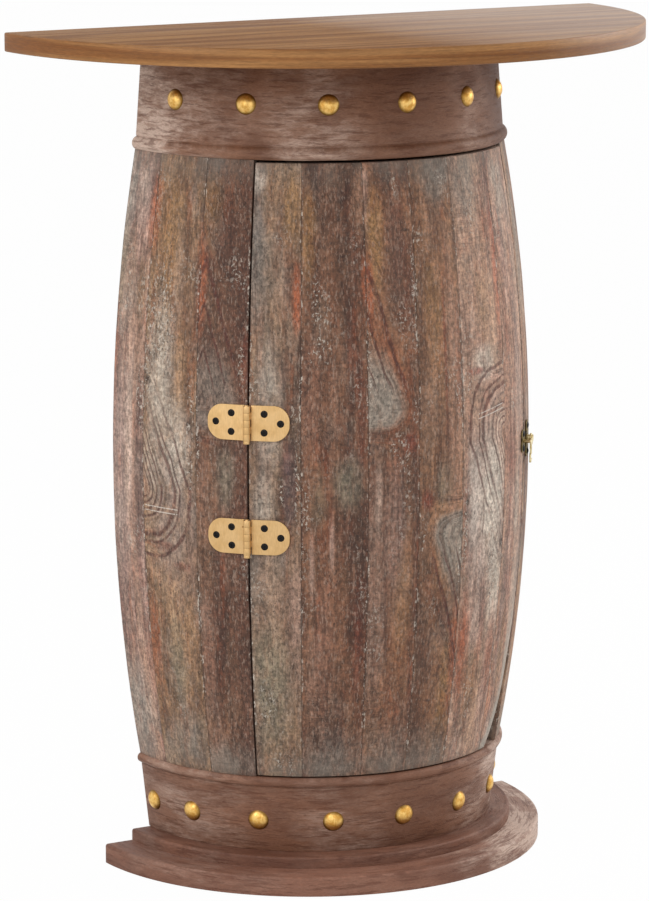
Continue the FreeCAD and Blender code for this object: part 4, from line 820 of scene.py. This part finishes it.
def brass(name, bright, dull, rough, cloud_size, band=None):
    """Brass with a little tarnish and fine scratches. Nails get painted shade towards where they meet their
    band.
    """
    metal = Finish(name)
    cloud = metal.grain(metal.place, (cloud_size, cloud_size, cloud_size), (1.0, 2.0, 3.0), 3.0, 0.6)
    metal.base = metal.mix(metal.fade(cloud, 0.35, 0.68), colour(bright), colour(dull))
    scratch = metal.grain(metal.place, (900, 900, 160), (3.0, 1.0, 2.0), 2.0, 0.6)
    metal.shade(scratch, 0.3, 0.7, 0.93, 1.05)
    if band:
        radius, level = metal.around_axis()[1:]
        height = metal.less(radius, metal.scaled(level, band_slope(band), band_radius(band, 0.0)))
        # painted shade: each nail head darkened near its rim, where it meets the band
        metal.lay(metal.fade(height, 0.0036, 0.0004, 0.0, 0.85), colour("5f3f1a"))
    metal.raise_surface(metal.weighed((cloud, 1.0), (scratch, 0.3)), 0.0003, 0.5)
    return metal.done(Metallic=1.0, Roughness=metal.fade(cloud, 0.3, 0.7, rough, rough + 0.14))


def screw_metal(name, tone, rough, shine):
    metal = Finish(name)
    metal.base = colour(tone)
    cloud = metal.grain(metal.place, (500, 500, 500), (1.0, 2.0, 3.0), 2.0)
    metal.shade(cloud, 0.3, 0.7, 0.75, 1.25)
    metal.raise_surface(cloud, 0.0001, 0.6)
    return metal.done(Metallic=shine, Roughness=metal.fade(cloud, 0.3, 0.7, rough, rough + 0.15))


# ------------------------------------------------------------------ shapes

def whole(bm):
    """All that a bmesh holds, as operators want it."""
    return bm.verts[:] + bm.edges[:] + bm.faces[:]


def verts_of(geometry):
    """The vertices in an operator's result."""
    return [part for part in geometry if isinstance(part, bmesh.types.BMVert)]


def made_since(bm, before):
    """The vertices that weren't there before."""
    return [vert for vert in bm.verts if vert not in before]


def close_up(bm):
    """Merges doubles and turns the faces outwards."""
    bmesh.ops.remove_doubles(bm, verts=bm.verts, dist=1e-6)
    bmesh.ops.recalc_face_normals(bm, faces=bm.faces)


def put(name, data):
    """Adds an object to the scene."""
    added = bpy.data.objects.new(name, data)
    scene.collection.objects.link(added)
    return added


def put_mesh(bm, name, material):
    """Adds a finished bmesh to the scene."""
    mesh = bpy.data.meshes.new(name)
    bm.to_mesh(mesh)
    bm.free()
    mesh.materials.append(material)
    return put(name, mesh)


def set_down(bm, name, body, material, replaced):
    """Turns a finished bmesh into a piece of the cabinet."""
    close_up(bm)
    for face in bm.faces:
        face.smooth = True
    for edge in sharp_edges(bm, SHADING_ANGLE):
        edge.smooth = False
    piece = put_mesh(bm, name, material)
    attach(piece, body)
    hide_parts(*replaced)


def sharp_edges(bm, angle=SHARP_ANGLE, keep=lambda edge: True):
    return [edge for edge in bm.edges if edge.calc_face_angle(0.0) > math.radians(angle) and keep(edge)]


def round_edges(bm, edges, width, segments=3):
    bmesh.ops.bevel(bm, geom=edges, offset=width, offset_type="OFFSET", segments=segments, profile=0.5,
                    affect="EDGES", material=-1, clamp_overlap=True)


def turn_section(bm, near, far, steps):
    """Turns the section that the bmesh holds about the barrel's axis, from near to far."""
    bmesh.ops.spin(bm, geom=whole(bm), cent=(0, AXIS_Y, 0), axis=(0, 0, 1),
                   angle=math.radians(far - near), steps=steps, use_merge=False, use_duplicate=False)


def half_disc(radius, base, top, easing, eased_foot):
    """A half-round board with a softened rim."""
    bm = bmesh.new()
    bmesh.ops.create_circle(bm, cap_ends=True, segments=DISC_SEGMENTS, radius=radius,
                            matrix=Matrix.Translation((0, AXIS_Y, base)))
    bmesh.ops.bisect_plane(bm, geom=whole(bm), dist=1e-6, plane_co=(0, AXIS_Y, 0), plane_no=(0, 1, 0),
                           clear_outer=True)
    raised = bmesh.ops.extrude_face_region(bm, geom=bm.faces[:])["geom"]
    bmesh.ops.translate(bm, vec=(0, 0, top - base), verts=verts_of(raised))
    bmesh.ops.recalc_face_normals(bm, faces=bm.faces)
    middle = (base + top) / 2
    eased = sharp_edges(bm, keep=lambda edge: eased_foot or max(vert.co.z for vert in edge.verts) > middle)
    round_edges(bm, eased, easing)
    return bm


def bead_arc(start, end, way):
    """Points of a rounded bead between two points of a band's face, the way up (+1) or down (-1)."""
    chord = end - start
    outward = Vector((chord.y, -chord.x)).normalized() * way
    bow = ((chord.length / 2) ** 2 + BEAD_PROUD ** 2) / (2 * BEAD_PROUD)
    centre = (start + end) / 2 + outward * (BEAD_PROUD - bow)
    half_turn = math.asin(min(chord.length / 2 / bow, 1.0))
    points = []
    for number in range(BEAD_STEPS + 1):
        turn = -half_turn + 2 * half_turn * number / BEAD_STEPS
        reach = outward * math.cos(turn) + chord.normalized() * math.sin(turn)
        points.append(centre + reach * bow)
    return points


def hoop(band):
    """A band turned from its section, with a bead at one end and a groove beside the bead."""
    way = 1 if band.plain_end > band.bead_end else -1
    groove = band.bead_end + way * band.bead_height
    past_groove = groove + way * GROOVE_WIDTH
    at_groove = band_radius(band, groove)
    section = [(band.bead_radius - BAND_THICKNESS, band.bead_end),
               *bead_arc(Vector((band.bead_radius, band.bead_end)), Vector((at_groove, groove)), way),
               (at_groove - GROOVE_DEPTH, (groove + past_groove) / 2),
               (band_radius(band, past_groove), past_groove),
               (band.plain_radius, band.plain_end),
               (band.plain_radius - BAND_THICKNESS, band.plain_end)]
    bm = bmesh.new()
    bm.faces.new([bm.verts.new(about_axis(radius, -90, level)) for radius, level in section])
    turn_section(bm, -90, 90, HOOP_STEPS)
    close_up(bm)
    round_edges(bm, sharp_edges(bm), HOOP_EASING, 2)
    return bm


def far_angle(stave, level):
    """Where a stave ends at a level: at its seam, or where the door's corner is worn off."""
    if not has_worn_corner(stave) or level >= DOOR_BASE + RELIEF_HEIGHT:
        return stave.far
    rise = level - DOOR_BASE - RELIEF_CENTRE.y
    reach = RELIEF_EDGE + (RELIEF_CENTRE.x + math.sqrt(RELIEF_RADIUS ** 2 - rise ** 2))
    return min(stave.far, LAST_DOOR_SEAM + math.degrees(math.asin(reach / barrel_radius(level))))


def wear_down(vert, stave, seed):
    """Moves a vertex of a stave to where wear has left it."""
    level = vert.co.z
    radius = math.hypot(vert.co.x, AXIS_Y - vert.co.y)
    angle = math.degrees(math.atan2(vert.co.x, AXIS_Y - vert.co.y))
    share = (angle - stave.near) / (stave.far - stave.near)
    seam = 1 if share > 0.999 else -1 if share < 0.001 else 0
    wear, gap = 0.0, SEAM_GAP
    if radius > barrel_radius(level) - STAVE_THICKNESS / 2:
        place = Vector((angle * WEAR_BUMPS[0], level * WEAR_BUMPS[1], seed * WEAR_BUMPS[2]))
        rough = 0.5 + 0.5 * noise.noise(place)
        wear = FACE_WEAR * rough
        gap += EDGE_WEAR * 0.4 * rough
        if seam:
            wear += EDGE_WEAR * (0.5 + 0.5 * noise.noise(place * 2.3))
        if has_worn_corner(stave) and share > 1 - RIM_WIDTH:
            faded = min(max((RIM_TOP - level) / RIM_FADE, 0.0), 1.0)
            wear += RIM_WEAR * (share - (1 - RIM_WIDTH)) / RIM_WIDTH * faded
    angle = stave.near + share * (far_angle(stave, level) - stave.near)
    vert.co = about_axis(radius - wear, angle - seam * math.degrees(gap / radius), level)


def bent_plank(stave, seed):
    """One stave, bent to the barrel's bulge, with worn faces and edges."""
    base, top = (DOOR_BASE, DOOR_TOP) if stave.body == "door" else (BARREL_BASE, BARREL_TOP)
    bm = bmesh.new()
    bmesh.ops.create_grid(bm, x_segments=1, y_segments=STAVE_ROWS, size=0.5)
    for vert in bm.verts:
        level = base + (top - base) * (vert.co.y + 0.5)
        inset = STAVE_THICKNESS * (vert.co.x + 0.5)
        vert.co = about_axis(barrel_radius(level) - inset, stave.near, level)
    turn_section(bm, stave.near, stave.far, max(4, round((stave.far - stave.near) / STAVE_STEP_ANGLE)))
    close_up(bm)
    for vert in bm.verts:
        wear_down(vert, stave, seed)
    round_edges(bm, sharp_edges(bm), STAVE_EASING, 2)
    return bm


def domed_head(bm, place, radius, height, seed):
    """A domed nail head, hammered slightly out of true."""
    before = set(bm.verts)
    bow = (radius ** 2 + height ** 2) / (2 * height)
    half_turn = math.asin(radius / bow)
    profile = [bm.verts.new((0, 0, 0))]
    for number in range(NAIL_RINGS + 1):
        turn = half_turn * (1 - number / NAIL_RINGS)
        profile.append(bm.verts.new((bow * math.sin(turn), 0, height - bow + bow * math.cos(turn))))
    edges = [bm.edges.new(pair) for pair in zip(profile, profile[1:])]
    bmesh.ops.spin(bm, geom=profile + edges, cent=(0, 0, 0), axis=(0, 0, 1),
                   angle=math.tau, steps=NAIL_STEPS, use_merge=True, use_duplicate=False)
    made = made_since(bm, before)
    for vert in made:
        spot = vert.co * DENTS_TO_THE_METRE + Vector((seed, 2.0 * seed, 0))
        vert.co.z -= abs(noise.noise(spot) * DENT_DEPTH) * vert.co.z / height
    bmesh.ops.transform(bm, matrix=place, verts=made)


def nail_row(band, angles, level):
    """A row of nail heads on a band's face."""
    bm = bmesh.new()
    tilt = -math.degrees(math.atan(band_slope(band)))
    for number, angle in enumerate(angles):
        place = outwards(band_radius(band, level), angle, level, tilt)
        turn = Matrix.Rotation(1.7 * number, 4, "Z")
        domed_head(bm, place @ turn, NAIL_RADIUS, NAIL_HEIGHT, number + level)
    return bm


def cross_head(bm, place, radius, height):
    """A flat screw head with a cross recess."""
    shoulder, crown, recess = height * 0.8, height * 0.2, height * 0.7
    arm, half_width = radius * 0.62, radius * 0.16
    before = set(bm.verts)
    foot = bmesh.ops.create_circle(bm, cap_ends=True, segments=SCREW_SEGMENTS, radius=radius)["verts"]
    raised = bmesh.ops.extrude_face_region(bm, geom=list(foot[0].link_faces))["geom"]
    top_face = [part for part in raised if isinstance(part, bmesh.types.BMFace)][0]
    bmesh.ops.translate(bm, verts=verts_of(raised), vec=(0, 0, shoulder))
    bmesh.ops.inset_region(bm, faces=[top_face], thickness=radius * 0.12, depth=0)
    bmesh.ops.translate(bm, verts=top_face.verts[:], vec=(0, 0, crown))
    bmesh.ops.inset_region(bm, faces=[top_face], thickness=radius * 0.2, depth=0)
    for vert in top_face.verts:
        turn = math.atan2(vert.co.y, vert.co.x)
        off_arm = abs((turn + math.pi / 4) % (math.pi / 2) - math.pi / 4)
        reach = min(arm / math.cos(off_arm), half_width / max(math.sin(off_arm), 1e-3))
        vert.co.x = reach * math.cos(turn)
        vert.co.y = reach * math.sin(turn)
    sunk = bmesh.ops.extrude_face_region(bm, geom=[top_face])["geom"]
    bmesh.ops.translate(bm, verts=verts_of(sunk), vec=(0, 0, -recess))
    if top_face.is_valid:
        bmesh.ops.delete(bm, geom=[top_face], context="FACES_ONLY")
    bmesh.ops.transform(bm, matrix=place, verts=made_since(bm, before))


def leaf_screw_heads(side):
    """The screw heads of both hinges, in the leaves on one side of the pins."""
    bm = bmesh.new()
    for hinge_number, hinge_level in enumerate(HINGE_LEVELS):
        for number, (reach, rise) in enumerate(HINGE_SCREW_SPOTS):
            level = hinge_level + rise
            angle = HINGE_ANGLE + side * math.degrees(math.asin(reach / BELLY_RADIUS))
            place = outwards(barrel_radius(level) + HINGE_SCREW_PROUD, angle, level)
            turn = Matrix.Rotation(0.6 * number + 0.9 * hinge_number, 4, "Z")
            cross_head(bm, place @ turn, HINGE_SCREW_RADIUS, HINGE_SCREW_HEIGHT)
    return bm


def dress(names, material, easing):
    """Gives nodes that keep their own shape a finish and softened edges."""
    for name in names.split():
        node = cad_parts[name]
        if not node.material_slots:
            node.data.materials.append(material)
        for material_slot in node.material_slots:
            material_slot.material = material
        weld = node.modifiers.new("weld", "WELD")
        weld.merge_threshold = 1e-5
        bevel = node.modifiers.new("easing", "BEVEL")
        bevel.width = easing
        bevel.segments = 2
        bevel.limit_method = "ANGLE"
        bevel.angle_limit = math.radians(NODE_SHARP_ANGLE)


# ------------------------------------------------------------------ the cabinet

# the bands' wash spots: angle, width in degrees and share; the strongest are painted highlight as well as
# wash, and those with a negative share are painted shade
UPPER_WASH_AND_PAINTED_LIGHT = ((-90, 44, 1.9), (-58, 24, 0.45), (-29, 24, 0.75), (26, 18, 0.45), (2, 20, -0.45),
              (54, 30, -1.3))
LOWER_WASH_AND_PAINTED_LIGHT = ((-75, 40, 0.6), (-20, 22, 0.5), (52, 44, 1.4), (2, 16, -0.4))
plinth_finish = band_wood("plinth_wood", "7a5444", 2.0, ((62, 70, 2.6), (-60, 50, 0.3), (0, 40, 0.15)))
step_finish = band_wood("plinth_step_wood", "6e4939", 4.0, ((-70, 40, 0.3), (50, 50, 0.35)))

for board, slot, finish, easing, eased_foot in (
        ("tabletop", "tabletop_wood", tabletop_wood(), 0.002, True),
        ("plinth_base", "band_wood", plinth_finish, 0.003, False),
        ("plinth_step", "band_wood", step_finish, 0.003, False)):
    board_low, board_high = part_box(board)
    set_down(half_disc(board_high.x, board_low.z, board_high.z, easing, eased_foot), board + "_board",
             "carcass", finish, [board])

set_down(hoop(LOWER_BAND), "lower_hoop", "carcass",
         band_wood("lower_band_wood", "77523f", 3.0, LOWER_WASH_AND_PAINTED_LIGHT), ["lower_band"])
upper_band_finish = band_wood("upper_band_wood", "74503c", 1.0, UPPER_WASH_AND_PAINTED_LIGHT,
                              (UPPER_BAND.bead_end, UPPER_BAND.plain_end))
set_down(hoop(UPPER_BAND), "upper_hoop", "carcass", upper_band_finish, ["upper_band"])

for seed, (name, stave) in enumerate(STAVES.items(), start=1):
    set_down(bent_plank(stave, seed), name + "_plank", stave.body,
             StaveWood(name, stave, seed).draw(), [name])

end_nail_angle = 90 - math.degrees(LOWER_END_NAIL_INSET / band_radius(LOWER_BAND, LOWER_NAIL_LEVEL))
upper_nail_angles = [number * UPPER_NAIL_PITCH for number in range(-3, 4)]
lower_nail_angles = [number * LOWER_NAIL_PITCH for number in range(-3, 4)]
lower_nail_angles += [-end_nail_angle, end_nail_angle]
for row, band, angles, level in (("upper_nail", UPPER_BAND, upper_nail_angles, UPPER_NAIL_LEVEL),
                                 ("lower_nail", LOWER_BAND, lower_nail_angles, LOWER_NAIL_LEVEL)):
    set_down(nail_row(band, angles, level), row + "_heads", "carcass",
             brass(row + "_brass", "efc677", "cf9b4a", 0.38, 180, band), [row + "s"])

hinge_finish = brass("hinge_brass", "dab581", "cea974", 0.42, 60)
hook_finish = brass("hook_brass", "efe2b6", "c3ab74", 0.34, 180)
# painted reflection: the plates' dark brass colour is partly an antique finish and partly stands in for the
# dark reflections of polished brass
plate_finish_painted_dark = brass("plate_brass_painted_dark", "8a7850", "4c4029", 0.45, 180)
black_finish = screw_metal("black_screw", "15110f", 0.45, 0.6)
steel_finish = screw_metal("steel_screw", "8a8780", 0.35, 1.0)
board_finish = inner_wood("board_wood", (3, 34, 34), "8a6a50")
upright_finish = inner_wood("upright_wood", (34, 34, 3), "6c5140")

set_down(leaf_screw_heads(-1), "frame_leaf_screw_heads", "carcass", black_finish,
         ["hinge_frame_screws"])
set_down(leaf_screw_heads(1), "door_leaf_screw_heads", "door", black_finish,
         ["hinge_door_screws"])

dress("upper_hinge_frame_leaf lower_hinge_frame_leaf upper_hinge_door_leaf lower_hinge_door_leaf "
      "upper_hinge_pin lower_hinge_pin", hinge_finish, 0.0003)
dress("latch_hook latch_pivot keeper_stud", hook_finish, 0.0004)
dress("latch_plate keeper_plate", plate_finish_painted_dark, 0.0004)
dress("latch_screws keeper_screws", black_finish, 0.0002)
dress("plinth_screws tabletop_screws", steel_finish, 0.0003)
dress("bottom_board floor_board header_board top_board shelf lower_back_rail upper_back_rail "
      "back_shelf_cleat lower_door_ledge upper_door_ledge", board_finish, 0.0008)
dress("back_panel hinge_jamb strike_jamb left_shelf_cleat right_shelf_cleat", upright_finish, 0.0008)

# ------------------------------------------------------------------ floor, light and camera

FLOOR_SPAN = 30.0
FLOOR_WHITENESS = 0.975
AMBIENT = 0.66
WHITE = (1, 1, 1, 1)
LAMP_TARGET = (0, 0.1, 0.5)
CAMERA_PLACE = (-2.3012, -3.8289, 1.3526)
CAMERA_YAW = 0.52398
CAMERA_PITCH = 0.19211
CAMERA_LENS = 163.72


def floor_finish():
    """Plain white to the eye, with the object's shadow kept on it."""
    ground = Finish("floor")
    ground.base = colour("e8e6e3")
    ground.show_to_eye("Material Output", ground.shader.outputs[0], ground.node("Emission").outputs[0],
                       FLOOR_WHITENESS)
    return ground.done(Roughness=0.9)


def soft_lamp(name, place, size, power):
    """A window of soft light, turned towards the cabinet."""
    lamp = bpy.data.lights.new(name, "AREA")
    lamp.shape = "RECTANGLE"
    lamp.size, lamp.size_y = size
    lamp.energy = power
    stand = put(name, lamp)
    stand.location = place
    stand.rotation_euler = (Vector(LAMP_TARGET) - Vector(place)).to_track_quat("-Z", "Y").to_euler()


floor_bm = bmesh.new()
bmesh.ops.create_grid(floor_bm, x_segments=1, y_segments=1, size=FLOOR_SPAN / 2)
put_mesh(floor_bm, "floor", floor_finish())

world = bpy.data.worlds.new("studio")
scene.world = world
world.use_nodes = True
sky = Shading(world.node_tree)
ambient = world.node_tree.nodes["Background"]
ambient.inputs["Color"].default_value = WHITE
ambient.inputs["Strength"].default_value = AMBIENT
sky.show_to_eye("World Output", ambient.outputs[0], sky.node("Background", WHITE).outputs[0], 1.0)

soft_lamp("left_window", (-2.4, -0.6, 1.9), (1.8, 1.6), 34)
soft_lamp("right_window", (2.4, -0.5, 1.7), (1.8, 1.6), 36)
soft_lamp("front_fill", (-0.9, -3.2, 1.6), (2.4, 1.8), 12)

camera_data = bpy.data.cameras.new("camera")
camera_data.sensor_width = 36
camera_data.lens = CAMERA_LENS
camera_data.clip_end = 60
camera = put("camera", camera_data)
camera.location = CAMERA_PLACE
camera.rotation_euler = (math.pi / 2 - CAMERA_PITCH, 0, -CAMERA_YAW)
scene.camera = camera
scene.view_settings.view_transform = "Standard"
